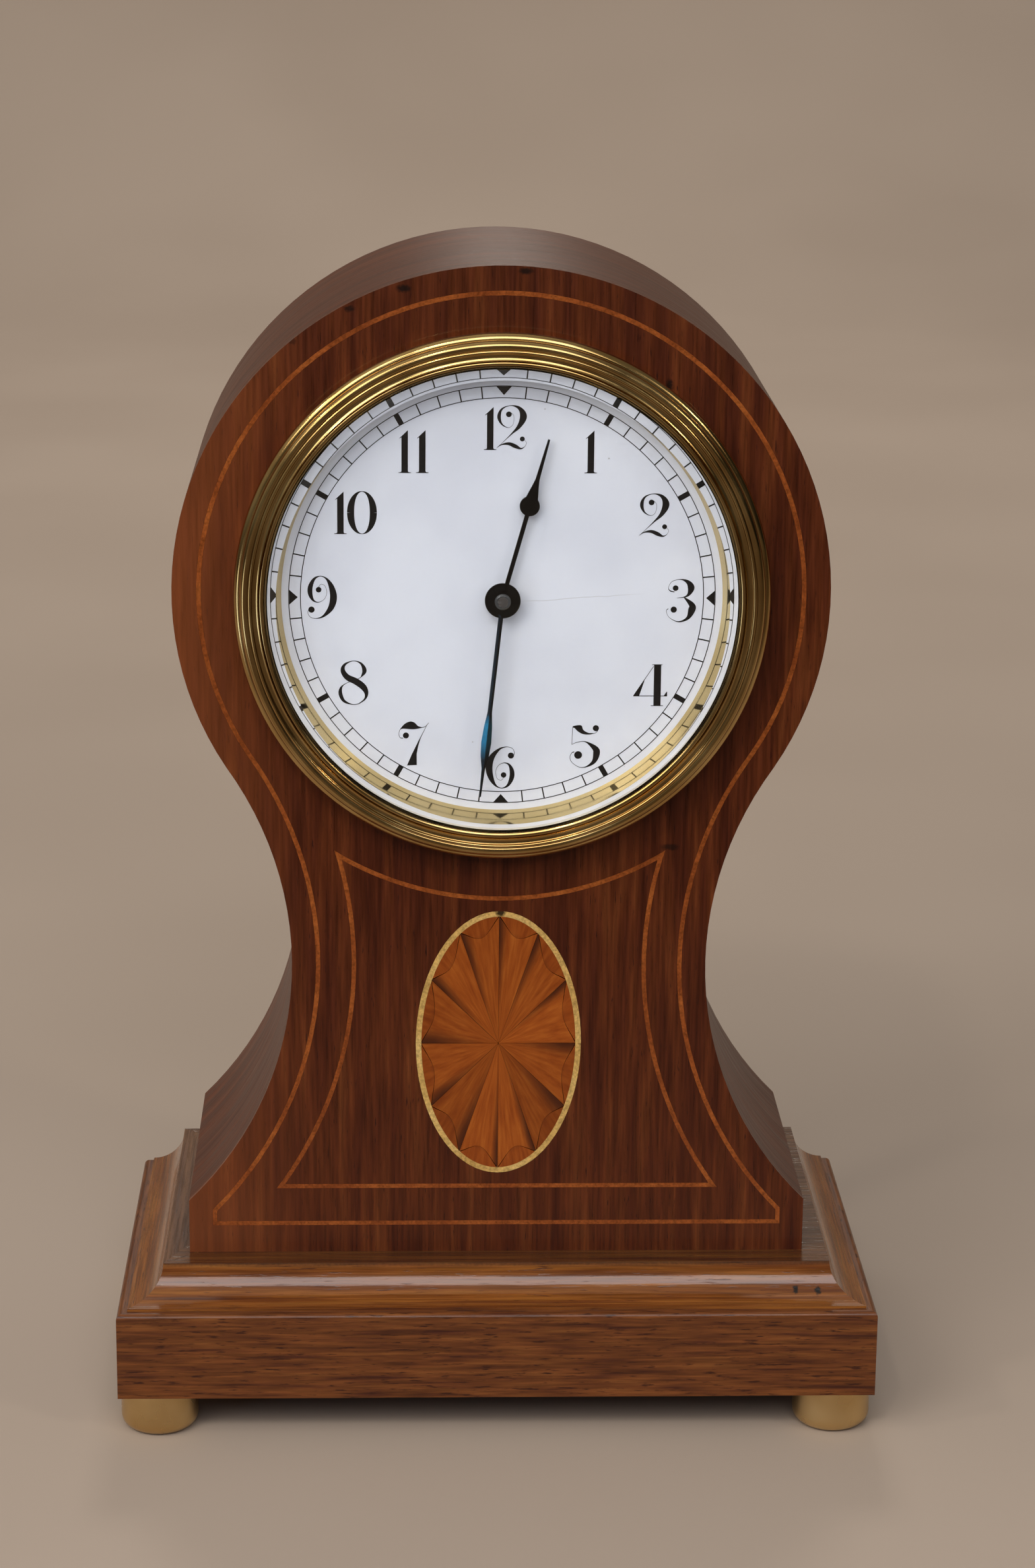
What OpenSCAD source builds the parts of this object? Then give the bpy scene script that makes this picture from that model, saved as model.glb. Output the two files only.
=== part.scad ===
// Balloon mantel clock: inlaid mahogany case on a plinth with brass feet, reeded brass bezel with
// bevelled glass, enamel dial, and a rear-wound lever movement behind a hinged rear door.
// Millimetres, +Z up, front towards -Y. Origin on the table, under the middle of the plinth.

/* [Case] */
// radius of the round head
head_r = 62; // [50:0.5:75]
// height of the head centre above the plinth
head_rise = 132.8; // [120:0.2:150]
// width across the waist
waist_w = 80; // [70:0.5:86]
// radius of the hollow waist curve
waist_r = 69.2; // [64:0.2:76]
// width of the case where it stands on the plinth
base_w = 121.2; // [114:0.2:128]
// depth of the case from front to back
case_d = 59.5; // [57:0.5:66]
// thickness of the bent side band
band_t = 5; // [4:0.5:7]
// thickness of the front veneer that holds the inlay
veneer_t = 1; // [0.8:0.1:1.4]
// thickness of the front board behind the veneer
front_t = 6; // [5:0.5:7]
// thickness of the back board
back_t = 6; // [5:0.5:7]
// thickness of the floor board inside the case
floor_t = 7; // [6:0.5:10]

/* [Plinth and feet] */
// width of the plinth block
plinth_w = 148.5; // [140:0.5:160]
// depth of the plinth block
plinth_d = 81.2; // [78:0.2:90]
// height of the plinth block
block_h = 17.6; // [14:0.1:22]
// height of the moulded board on the block
mould_h = 7.2; // [6.6:0.1:9]
// how far the block stands out past the top of the moulding
mould_out = 8.75; // [8.4:0.05:11]
// radius of the hollow in the moulding
cove_r = 6.7; // [5:0.1:7]
// distance of the case front behind the front edge of the moulded board
case_margin = 5.65; // [4:0.05:7]
// radius of the rounded top edge of the block
arris_r = 1; // [0.5:0.1:1.2]
// height of a foot
foot_h = 8.6; // [7:0.2:12]
// largest radius of a foot
foot_r = 7.6; // [6:0.1:7.7]
// radius of the flat under a foot
foot_flat = 5; // [4:0.1:5.6]
// distance of a foot's centre from the plinth's sides
foot_inset = 7.7; // [7.7:0.1:12]

/* [Inlay] */
// width of the stringing lines
string_w = 0.9; // [0.6:0.1:1.4]
// distance of the outer line from the case outline
string_inset = 4.6; // [3.5:0.1:6]
// height of the outer line's lower edge above the plinth
string_low = 5.6; // [4:0.1:8]
// distance of the inner panel line from the case outline
panel_inset = 11.5; // [9.5:0.1:13]
// height of the inner panel line above the plinth
panel_low = 13.4; // [11:0.1:15]
// gap between the bezel and the arched top of the inner panel
panel_arch = 8.9; // [7.1:0.1:10.1]
// width of the oval with its border
oval_w = 32.2; // [28:0.2:36]
// height of the oval with its border
oval_h = 54; // [46:0.5:56]
// height of the oval's centre above the plinth
oval_z = 43.6; // [42.5:0.1:45]
// width of the oval's border
border_w = 1.1; // [0.8:0.1:1.5]
// petals in the fan
petals = 12; // [8:2:16]
// depth of the lens at the end of each petal, as a share of the oval
lens_depth = 0.14; // [0.08:0.01:0.2]

/* [Bezel and dial] */
// outer radius of the bezel
bezel_r = 50.3; // [49.8:0.1:51.6]
// outer radius of the bezel's tube in the front board
tube_r = 46.3; // [46.2:0.1:47]
// length of the bezel's tube behind the veneer face
tube_len = 9.5; // [9:0.5:12]
// radius of the glass
glass_r = 45; // [44.8:0.1:45.1]
// height of the glass's back above the veneer face
glass_up = 6; // [5.8:0.1:6.4]
// thickness of the glass edge
glass_edge = 0.9; // [0.8:0.05:1]
// width of the bevel on the glass
bevel_w = 1.9; // [1.5:0.1:2.4]
// height of the bevel on the glass
bevel_h = 1.9; // [1:0.1:2.2]
// inner radius of the ring behind the glass, where it stands on the dial
sight_r = 41.4; // [40.9:0.1:41.9]
// how much wider that ring is where it meets the glass
sight_flare = 2.1; // [1.2:0.05:2.4]
// height of the dial face above the veneer face
dial_up = 0.5; // [0:0.1:0.8]
// thickness of the enamel dial
dial_t = 1.4; // [1.2:0.1:1.8]
// thickness of the dial plate
dial_plate_t = 1.2; // [1:0.1:1.4]

/* [Hands] */
// length of the minute hand
minute_len = 38.2; // [34:0.1:39.5]
// length of the hour hand
hour_len = 31.4; // [28:0.1:33]
// radius of the minute hand's boss
boss_r = 3.35; // [2.8:0.05:4]
// thickness of the hands
hand_t = 0.5; // [0.4:0.05:0.6]
// thickness of the minute hand at its edges
hand_edge = 0.25; // [0.2:0.05:0.3]
// height of the minute hand's ridge above its edges
ridge_h = 0.45; // [0.3:0.05:0.6]
// minutes past twelve that the hands show
shown_min = 31; // [0:1:59]

/* [Movement] */
// radius of the movement plates
plate_r = 36.5; // [36.5:0.5:37.5]
// thickness of the movement plates
plate_t = 2; // [1.6:0.1:2.2]
// space between the plates
train_gap = 22; // [21:0.5:23]
// space under the dial for the motion work
motion_gap = 5.4; // [5.2:0.1:6]
// radius of the pillars
pillar_r = 2.2; // [1.8:0.1:2.4]
// tooth module of the barrel and the centre pinion
barrel_mod = 0.44; // [0.43:0.005:0.45]
// tooth module of the centre wheel and the third pinion
centre_mod = 0.36; // [0.35:0.005:0.37]
// tooth module of the third wheel and the fourth pinion
third_mod = 0.33; // [0.32:0.005:0.34]
// tooth module of the fourth wheel and the escape pinion
fourth_mod = 0.3; // [0.295:0.005:0.305]
// tooth module of the motion work
motion_mod = 0.4; // [0.38:0.01:0.42]
// radius of the balance wheel
balance_r = 8.5; // [7.5:0.1:8.6]
// turns of the hairspring
hair_turns = 5; // [4:1:5]
// turns of the mainspring
main_turns = 7; // [5:1:8]
// radius of the hand-setting knob
knob_r = 5.5; // [4:0.1:6]
// width of the winding key's wings
key_w = 22; // [18:0.5:23]

/* [Rear door] */
// outer radius of the rear ring's flange
ring_r = 47; // [46.6:0.1:48]
// radius of the opening in the rear ring
ring_bore = 38; // [37.5:0.1:38.2]
// radius of the rear door
door_r = 42.4; // [42:0.1:42.6]
// thickness of the rear door and of the ring's flange
sheet_t = 1.4; // [1.2:0.1:1.5]
// radius of the hinge knuckles
knuckle_r = 1.7; // [1.7:0.05:1.8]

/* [Clearances] */
// gap round the inlay pieces
inlay_gap = 0.02; // [0.01:0.01:0.04]
// gap round the wooden boards inside the band
wood_gap = 0.05; // [0.02:0.01:0.1]
// radial clearance of pivots and pipes that turn
pivot_gap = 0.04; // [0.03:0.01:0.08]
// clearance of pieces that sit in a bore and stay there
seat_gap = 0.03; // [0.01:0.01:0.05]
// clearance between pieces that pass each other
pass_gap = 0.4; // [0.35:0.05:0.5]

/* [Hidden] */
$fn = 96;

// colours of the materials
mahogany = [0.33, 0.15, 0.08];
pale_wood = [0.72, 0.52, 0.30];
fan_wood = [0.62, 0.34, 0.14];
string_wood = [0.58, 0.32, 0.15];
carcass = [0.50, 0.33, 0.20];
brass = [0.80, 0.62, 0.28];
steel = [0.62, 0.63, 0.65];
blued = [0.06, 0.07, 0.10];
enamel = [0.88, 0.89, 0.92];
clear = [0.80, 0.88, 0.90, 0.3];

// levels of the case
plinth_top = foot_h + block_h + mould_h;
dial_z = plinth_top + head_rise;
case_front = -plinth_d / 2 + mould_out + case_margin;
case_back = case_front + case_d;
board_f = case_front + veneer_t;
board_b = board_f + front_t;
back_f = case_back - back_t;

// rounding under the feet, and the stud on each
foot_round = foot_r - foot_flat;
stud_r = 2;
stud_len = 9;

// how far the back board's screws enter the floor board, and how far they stay inside the band
back_screw_in = 7;
back_screw_inset = 7;

// waist circles that flow into the head, lapped a little so that the curves cross cleanly
lap = 0.02;
waist_x = waist_w / 2 + waist_r;
waist_z = head_rise - sqrt(pow(head_r + waist_r - lap, 2) - pow(waist_x, 2));

// slope of the line from the head's centre to a waist centre, on which the two curves meet
join_run = (head_rise - waist_z) / (head_r + waist_r);

// half width inside the band at a height above the plinth, below the waist
function inner_half(h) = min(base_w / 2 - band_t,
    waist_x - sqrt(pow(waist_r + band_t, 2) - pow(h - waist_z, 2)));

// levels along the dial axis, counted towards the back
dial_face = case_front - dial_up;
dial_back = dial_face + dial_t;
dplate_b = dial_back + dial_plate_t;
fp_f = dplate_b + motion_gap;
fp_b = fp_f + plate_t;
bp_f = fp_b + train_gap;
bp_b = bp_f + plate_t;
hour_y = dial_face - 1.1;
minute_y = dial_face - 2.5;
seat_r = glass_r + seat_gap;
dial_edge = 0.5;
grub_in = glass_r - 2.5;
grub_r = 0.4;

// bulb of the hour hand: its radius, and its distance from the dial centre
bulb_r = 1.87;
bulb_at = 18.4;

// tooth counts
barrel_n = 72;
centre_pin_n = 10;
centre_n = 64;
third_pin_n = 8;
third_n = 60;
fourth_pin_n = 8;
fourth_n = 64;
escape_pin_n = 8;
escape_n = 15;
cannon_n = 12;
minute_n = 36;
minute_pin_n = 10;
hour_n = 40;

// places of the arbors, as [x, z] from the dial centre
function polar(r, a) = [r * cos(a), r * sin(a)];
barrel_dir = 225;
third_dir = 60;
fourth_dir = -20;
escape_dir = -75;
lever_dir = -60;
balance_dir = -150;
cock_dir = -40;
barrel_p = polar(barrel_mod * (barrel_n + centre_pin_n) / 2, barrel_dir);
third_p = polar(centre_mod * (centre_n + third_pin_n) / 2, third_dir);
fourth_p = third_p + polar(third_mod * (third_n + fourth_pin_n) / 2, fourth_dir);
escape_p = fourth_p + polar(fourth_mod * (fourth_n + escape_pin_n) / 2, escape_dir);
lever_p = escape_p + polar(7, lever_dir);
balance_p = lever_p + polar(7.5, balance_dir);
cock_p = balance_p + polar(balance_r + 3.5, cock_dir);
potence_p = balance_p + polar(5.6, -135);
minute_p = [0, -motion_mod * (cannon_n + minute_n) / 2];
hour_mod = motion_mod * (cannon_n + minute_n) / (minute_pin_n + hour_n);
pillar_pts = [for (a = [30, 105, 165, 275]) polar(32.5, a)];
post_pts = [for (a = [60, 200, 320]) polar(33, a)];

// sizes of the movement's smaller pieces
arbor_r = 1;
thin_arbor = 0.8;
pivot_r = 0.6;
staff_r = 0.7;
staff_pivot = 0.45;
pipe_r = 1.55;
drum_r = barrel_mod * barrel_n / 2 - 1.25;
drum_wall = 0.9;
barrel_f = fp_b + 1.2;
drum_f = barrel_f + 1.5;
drum_b = bp_f - 4.2;
barrel_hub = 4;
barrel_arbor_r = 2;
square_w = 2.2;
ratchet_r = 7;
ratchet_n = 30;
ratchet_f = bp_b + 0.5;
ratchet_b = ratchet_f + 1.3;
click_p = barrel_p + polar(10.2, 150);
escape_r = 5;
pallet_out = escape_r + pass_gap;
cock_h = 7;
hair_in = 1.5;
hair_out = 5.3;
hair_t = 0.18;
main_t = 0.4;
cannon_r = 1.65;
hour_pipe = cannon_r + pivot_gap + 0.6;
strap_w = 7;
strap_out = 44.4;
strap_t = 1.5;
lug_f = back_f - 5.5;
lug_b = back_f - 3;
screw_at = ring_bore + 2.2;
flange_b = case_back + sheet_t;
door_f = flange_b + 0.2;
door_b = door_f + sheet_t;
hinge_x = door_r + knuckle_r + 0.5;
hinge_y = flange_b + knuckle_r + 0.1;
pin_r = 0.8;

// spirals: radius grows evenly with the angle
function spiral_pt(r0, r1, turns, t, off) =
    polar(r0 + (r1 - r0) * t + off, 360 * turns * t);
function spiral_pts(r0, r1, turns, thick, per_turn) =
    let (n = turns * per_turn)
    concat([for (i = [0:n]) spiral_pt(r0, r1, turns, i / n, thick / 2)],
        [for (i = [n:-1:0]) spiral_pt(r0, r1, turns, i / n, -thick / 2)]);
function spiral_gap(r0, r1, turns, thick, per_turn) =
    let (n = turns * per_turn)
    min([for (i = [0:n - per_turn]) norm(spiral_pt(r0, r1, turns, (i + per_turn) / n, 0)
        - spiral_pt(r0, r1, turns, i / n, 0)) - thick]);
echo("least gap between hairspring turns", spiral_gap(hair_in, hair_out, hair_turns, hair_t, 36));
echo("least gap between mainspring turns",
    spiral_gap(barrel_hub + 0.7, drum_r - drum_wall - 0.5, main_turns, main_t, 24));

// toothed outlines: six points on each tooth
function tooth_pts(n, m, add, ded, at_pitch, at_tip, at_root) =
    let (r = n * m / 2, p = 360 / n)
    [for (i = [0:n - 1]) each [
        polar(r - ded * m, (i - at_root) * p), polar(r, (i - at_pitch) * p),
        polar(r + add * m, (i - at_tip) * p), polar(r + add * m, (i + at_tip) * p),
        polar(r, (i + at_pitch) * p), polar(r - ded * m, (i + at_root) * p)]];
function wheel_pts(n, m) = tooth_pts(n, m, 0.9, 1.2, 0.21, 0.09, 0.25);
function pinion_pts(n, m) = tooth_pts(n, m, 0.8, 1.25, 0.17, 0.07, 0.18);
// turn of a gear so that its teeth stand in the gaps of the gear it meets
function in_mesh(n_a, turn_a, dir, n_b) =
    dir + 180 - (0.5 - (dir - turn_a) * n_a / 360) * 360 / n_b;

// oval outlines
function oval_pt(inset, a, share) =
    [(oval_w / 2 - inset) * cos(a) * share, (oval_h / 2 - inset) * sin(a) * share];
function oval_pts(inset) = [for (a = [0:5:355]) oval_pt(inset, a, 1)];
function lens_line(inset, a0, a1, steps) =
    [for (i = [0:steps]) oval_pt(inset, a0 + (a1 - a0) * i / steps, 1 - lens_depth * sin(180 * i / steps))];
function rim_line(inset, a0, a1, steps) =
    [for (i = [0:steps]) oval_pt(inset, a0 + (a1 - a0) * i / steps, 1)];

// draws a flat shape in the front plane, from level yf to level yb, round the dial centre
module slab(yf, yb, p = [0, 0]) {
    translate([p[0], yb, dial_z + p[1]])
        rotate([90, 0, 0])
            linear_extrude(yb - yf) children();
}

// revolves a profile of [radius, distance towards the front] round an axis through p
module turned(y0, p = [0, 0]) {
    translate([p[0], y0, dial_z + p[1]])
        rotate([90, 0, 0])
            rotate_extrude() children();
}

// draws a flat shape of the case, counted from the plinth's top
module case_slab(yf, yb) {
    translate([0, yb, plinth_top])
        rotate([90, 0, 0])
            linear_extrude(yb - yf) children();
}

module rod(r, yf, yb, p = [0, 0]) {
    slab(yf, yb, p) circle(r);
}

// straight bar with round ends
module bar(a, b, w) {
    d = b - a;
    translate(a) circle(w / 2);
    translate(b) circle(w / 2);
    translate(a)
        rotate(atan2(d[1], d[0]))
            translate([0, -w / 2]) square([norm(d), w]);
}

// outline of the case, drawn in by an even margin
module balloon(inset, low = 0) {
    difference() {
        union() {
            translate([0, head_rise]) circle(head_r - inset);
            translate([-(base_w / 2 - inset), low])
                square([base_w - 2 * inset, head_rise - (head_r - inset) * join_run - low]);
        }
        for (s = [-1, 1])
            translate([s * waist_x, waist_z]) circle(waist_r + inset);
    }
}

// inner panel: waist below the bezel, with an arched top
module panel(inset) {
    difference() {
        balloon(panel_inset + inset, panel_low + inset);
        translate([0, head_rise]) circle(bezel_r + panel_arch + inset);
        translate([-head_r, head_rise - (bezel_r + panel_arch) * join_run])
            square([2 * head_r, 2 * head_r]);
    }
}

module wheel_shape(n, m, turn, hub, rim, spokes) {
    hole = n * m / 2 - 1.2 * m - rim;
    difference() {
        rotate(turn) polygon(wheel_pts(n, m));
        difference() {
            circle(hole);
            circle(hub);
            for (i = [0:spokes - 1])
                rotate(i * 360 / spokes) translate([0, -0.6]) square([hole + 1, 1.2]);
        }
    }
}

// plinth
module plinth_outline(w, top) {
    difference() {
        translate([-w / 2, 0]) square([w, top]);
        for (s = [-1, 1])
            translate([s * (w / 2 - arris_r), top - arris_r])
                difference() {
                    translate([s > 0 ? 0 : -arris_r - 1, 0]) square([arris_r + 1, arris_r + 1]);
                    circle(arris_r);
                }
    }
}

module screw_places() {
    for (x = [-base_w / 3, base_w / 3], y = [board_b + 9, back_f - 9])
        translate([x, y, 0]) children();
}

module plinth_block() {
    color(mahogany)
        difference() {
            intersection() {
                translate([0, plinth_d / 2, foot_h])
                    rotate([90, 0, 0])
                        linear_extrude(plinth_d) plinth_outline(plinth_w, block_h);
                translate([-plinth_w, 0, foot_h])
                    rotate([90, 0, 90])
                        linear_extrude(2 * plinth_w)
                            translate([plinth_d / 2, 0]) plinth_outline(2 * plinth_d, block_h);
            }
            foot_places([-1, 1]) translate([0, 0, foot_h - 1]) cylinder(r = stud_r + seat_gap, h = stud_len + 2);
            screw_places() translate([0, 0, foot_h - 1]) cylinder(r = 3.6, h = 7);
            screw_places() translate([0, 0, foot_h]) cylinder(r = 1.8 + seat_gap, h = block_h + 1);
        }
}

module cove_outline(half, top) {
    difference() {
        translate([-half - mould_out, 0]) square([2 * half + 2 * mould_out, top]);
        for (s = [-1, 1])
            translate([s * (half + cove_r), top]) circle(cove_r);
        for (s = [-1, 1])
            translate([s > 0 ? half + cove_r : -half - mould_out - 1, -1]) square([mould_out - cove_r + 1, top + 2]);
    }
}

module plinth_moulding() {
    low = foot_h + block_h;
    half_w = plinth_w / 2 - mould_out;
    color(mahogany)
        difference() {
            intersection() {
                translate([0, plinth_d / 2, low])
                    rotate([90, 0, 0])
                        linear_extrude(plinth_d) cove_outline(half_w, mould_h);
                translate([-plinth_w, 0, low])
                    rotate([90, 0, 90])
                        linear_extrude(2 * plinth_w)
                            translate([plinth_d / 2, 0]) cove_outline(plinth_d - mould_out, mould_h);
            }
            screw_places() translate([0, 0, low - 1]) cylinder(r = 1.8 + seat_gap, h = mould_h + 2);
        }
}

module foot_places(sides) {
    for (x = [-1, 1], s = sides)
        translate([x * (plinth_w / 2 - foot_inset), s * (plinth_d / 2 - foot_inset), 0]) children();
}

// turned foot, straight at the top and round below, with a stud that enters the block
module turned_foot() {
    rotate_extrude() {
        square([foot_flat, foot_h]);
        translate([0, foot_round]) square([foot_r, foot_h - foot_round]);
        intersection() {
            square([foot_r, foot_h]);
            translate([foot_flat, foot_round]) circle(foot_round);
        }
        square([stud_r, foot_h + stud_len]);
    }
}

module front_feet() {
    color(brass) foot_places([-1]) turned_foot();
}

module back_feet() {
    color(brass) foot_places([1]) turned_foot();
}

// case
module floor_board() {
    color(carcass)
        difference() {
            case_slab(board_b + wood_gap, back_f - wood_gap)
                intersection() {
                    balloon(band_t + wood_gap);
                    translate([-base_w / 2, 0]) square([base_w, floor_t]);
                }
            screw_places() translate([0, 0, plinth_top - 1]) cylinder(r = 1.8 + seat_gap, h = floor_t - 0.5);
            case_slab(back_f - back_screw_in - 0.5, back_f) back_screw_places() circle(1.2 + seat_gap);
        }
}

module case_screws() {
    color(steel)
        screw_places() {
            translate([0, 0, foot_h + 3.9]) cylinder(r = 3.4, h = 2.1);
            translate([0, 0, foot_h + 5]) cylinder(r = 1.8, h = block_h + mould_h + floor_t - 7);
        }
}

module case_band() {
    color(mahogany)
        case_slab(board_f, case_back)
            difference() {
                balloon(0);
                balloon(band_t, -1);
            }
}

module front_board() {
    color(carcass)
        difference() {
            case_slab(board_f, board_b) balloon(band_t + wood_gap);
            rod(tube_r + 0.2, board_f - 1, board_b + 1);
        }
}

module front_veneer() {
    color(mahogany)
        case_slab(case_front, board_f)
            difference() {
                balloon(0);
                translate([0, head_rise]) circle(tube_r + 0.2);
                string_line(0);
                panel_line(0);
                translate([0, oval_z]) polygon(oval_pts(0));
            }
}

module back_screw_places() {
    for (s = [-1, 0, 1])
        translate([s * (inner_half(floor_t / 2) - back_screw_inset), floor_t / 2]) children();
}

module back_board() {
    color(mahogany)
        difference() {
            case_slab(back_f, case_back)
                difference() {
                    balloon(band_t + wood_gap);
                    back_screw_places() circle(1.2 + seat_gap);
                }
            rod(ring_bore + 4, back_f - 1, case_back + 1);
        }
}

module back_board_screws() {
    color(brass) {
        case_slab(back_f - back_screw_in, case_back + 0.2) back_screw_places() circle(1.2);
        case_slab(case_back, case_back + 0.9) back_screw_places() circle(2.4);
    }
}

// inlay
module string_line(gap) {
    difference() {
        balloon(string_inset + gap, string_low + gap);
        balloon(string_inset + string_w - gap, string_low + string_w - gap);
    }
}

module panel_line(gap) {
    difference() {
        panel(gap);
        panel(string_w - gap);
    }
}

module outer_stringing() {
    color(string_wood) case_slab(case_front, board_f) string_line(inlay_gap);
}

module panel_stringing() {
    color(string_wood) case_slab(case_front, board_f) panel_line(inlay_gap);
}

module oval_border() {
    color(pale_wood)
        case_slab(case_front, board_f)
            translate([0, oval_z])
                difference() {
                    polygon(oval_pts(inlay_gap));
                    polygon(oval_pts(border_w));
                }
}

module fan_petals() {
    turn = 360 / petals;
    color(fan_wood)
        case_slab(case_front, board_f)
            translate([0, oval_z])
                for (i = [0:petals - 1])
                    polygon(concat([oval_pt(border_w, (i + 0.5) * turn, 0.004)],
                        lens_line(border_w + inlay_gap, i * turn + 0.1, (i + 1) * turn - 0.1, 10)));
}

module fan_lunettes() {
    turn = 360 / petals;
    color(pale_wood)
        case_slab(case_front, board_f)
            translate([0, oval_z])
                for (i = [0:petals - 1])
                    polygon(concat(rim_line(border_w + inlay_gap, i * turn + 0.8, (i + 1) * turn - 0.8, 10),
                        [for (k = [9:-1:1])
                            lens_line(border_w, i * turn + 0.8, (i + 1) * turn - 0.8, 10)[k] * 1.001]));
}

// bezel, glass and dial
module bezel_profile() {
    lip = glass_up + glass_edge;
    difference() {
        union() {
            difference() {
                polygon([[seat_r, -tube_len], [tube_r, -tube_len], [tube_r, 0], [bezel_r - 0.7, 0],
                    [bezel_r - 0.7, lip * 0.5], [bezel_r - 1.6, lip * 0.7], [bezel_r - 2.4, lip - 0.15],
                    [glass_r + 1.9, lip - 0.15], [glass_r + 0.5, lip + 0.4], [glass_r, lip + 0.4],
                    [glass_r - 0.6, lip + 0.2], [glass_r - 0.6, lip], [seat_r, lip]]);
                translate([glass_r + 1.25, lip + 0.8]) circle(1.1);
            }
            translate([bezel_r - 1.25, lip * 0.58]) circle(1.25);
            translate([bezel_r - 2.25, lip * 0.88]) circle(1.05);
            translate([bezel_r - 3.2, lip]) circle(0.42);
        }
        translate([0, -tube_len - 1]) square([seat_r, tube_len + 1 + lip + seat_gap]);
    }
}

module bezel() {
    color(brass)
        difference() {
            turned(case_front) bezel_profile();
            bezel_screw_places() cylinder(r = grub_r + seat_gap, h = 10);
        }
}

module glass() {
    color(clear)
        turned(case_front - glass_up)
            polygon([[0, 0], [glass_r, 0], [glass_r, glass_edge], [glass_r - 0.9, glass_edge],
                [glass_r - 0.9 - bevel_w, glass_edge + bevel_h], [0, glass_edge + bevel_h]]);
}

module glass_ring() {
    high = glass_up - dial_up;
    color(brass)
        turned(dial_face)
            polygon([[sight_r, 0], [glass_r, 0], [glass_r, high], [sight_r + sight_flare, high]]);
}

module dial() {
    color(enamel)
        turned(dial_back)
            polygon([[hour_pipe + pass_gap, 0], [glass_r - 0.1, 0], [glass_r - 0.1, dial_t - dial_edge],
                [glass_r - 0.1 - dial_edge, dial_t], [hour_pipe + pass_gap, dial_t]]);
}

module dial_plate() {
    color(brass)
        difference() {
            slab(dial_back, dplate_b)
                difference() {
                    circle(glass_r - 0.1);
                    circle(20);
                }
            bezel_screw_places() cylinder(r = grub_r + seat_gap, h = 10);
        }
}

module bezel_screw_places() {
    for (a = [90, 210, 330])
        translate([0, (dial_back + dplate_b) / 2, dial_z])
            rotate([0, 90 - a, 0])
                translate([0, 0, grub_in]) children();
}

module bezel_screws() {
    color(steel) bezel_screw_places() cylinder(r = grub_r, h = tube_r - grub_in - 0.2);
}

module dial_posts() {
    color(brass) for (p = post_pts) rod(2, dplate_b, fp_f, p);
}

// straps that draw the front and the rear ring together
module case_straps() {
    color(brass)
        for (s = [-1, 1])
            difference() {
                union() {
                    strap_box(s, strap_out - 5, strap_out, dplate_b, dplate_b + strap_t);
                    strap_box(s, strap_out - strap_t, strap_out, dplate_b, lug_b);
                    strap_box(s, ring_bore + 0.6, strap_out, lug_f, lug_b);
                }
                rod(1.2 + seat_gap, lug_f - 1, lug_b + 1, [0, s * screw_at]);
            }
}

module strap_box(s, r0, r1, yf, yb) {
    translate([-strap_w / 2, yf, dial_z + (s > 0 ? r0 : -r1)]) cube([strap_w, yb - yf, r1 - r0]);
}

module strap_screws() {
    color(steel)
        for (s = [-1, 1]) {
            rod(1.2, lug_f - 1.5, flange_b - 0.5, [0, s * screw_at]);
            rod(1.9, flange_b - 0.9, flange_b, [0, s * screw_at]);
        }
}

// rear ring and door
module door_ring() {
    color(brass)
        difference() {
            union() {
                slab(back_f, flange_b)
                    difference() {
                        circle(ring_bore + 4 - seat_gap);
                        circle(ring_bore);
                    }
                slab(case_back, flange_b)
                    difference() {
                        circle(ring_r);
                        circle(ring_bore);
                    }
                for (z = [-9, 4])
                    hinge_barrel(z, 5, flange_b - 0.2);
            }
            hinge_bore(seat_gap);
            for (s = [-1, 1]) {
                rod(1.2 + seat_gap, back_f - 1, flange_b + 1, [0, s * screw_at]);
                rod(1.9 + seat_gap, flange_b - 0.9, flange_b + 1, [0, s * screw_at]);
            }
        }
}

module hinge_barrel(z, len, y_to) {
    translate([hinge_x, hinge_y, dial_z + z]) cylinder(r = knuckle_r, h = len);
    translate([hinge_x - 0.9, min(y_to, hinge_y), dial_z + z]) cube([1.8, abs(hinge_y - y_to), len]);
}

module hinge_bore(gap) {
    translate([hinge_x, hinge_y, dial_z - 12]) cylinder(r = pin_r + gap, h = 24);
}

module door() {
    color(brass)
        difference() {
            union() {
                slab(door_f, door_b)
                    difference() {
                        circle(door_r);
                        translate([-(door_r - 5.5), 0]) circle(1 + seat_gap);
                    }
                turned(door_b)
                    polygon([[door_r - 2.2, 0.2], [door_r - 0.4, 0.2], [door_r - 0.4, -0.4], [door_r - 1, -0.7],
                        [door_r - 2.2, 0]]);
                translate([door_r - 3, door_f, dial_z - 3.7]) cube([hinge_x - door_r + 3, sheet_t, 7.4]);
                translate([hinge_x, hinge_y, dial_z - 3.7]) cylinder(r = knuckle_r - 0.05, h = 7.4);
            }
            hinge_bore(pivot_gap);
        }
}

module hinge_pin() {
    color(steel)
        translate([hinge_x, hinge_y, dial_z - 9.6]) cylinder(r = pin_r, h = 19.2);
}

module door_knob() {
    p = [-(door_r - 5.5), 0];
    color(brass) {
        rod(1, door_f + 0.1, door_b + 0.5, p);
        turned(door_b, p)
            polygon([[0, 0], [1.3, 0], [1.3, -0.8], [2.2, -1.6], [2.2, -2.6], [1.7, -3.1], [0, -3.1]]);
    }
}

// movement frame
module train_holes(back) {
    translate(third_p) circle(pivot_r + pivot_gap);
    translate(fourth_p) circle(pivot_r + pivot_gap);
    translate(escape_p) circle(pivot_r + pivot_gap);
    translate(lever_p) circle(pivot_r + pivot_gap);
    translate(barrel_p) circle((back ? 1.6 : 1.4) + pivot_gap);
    circle(arbor_r + pivot_gap);
    for (p = pillar_pts)
        translate(p) circle(1.4 + seat_gap);
}

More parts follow.
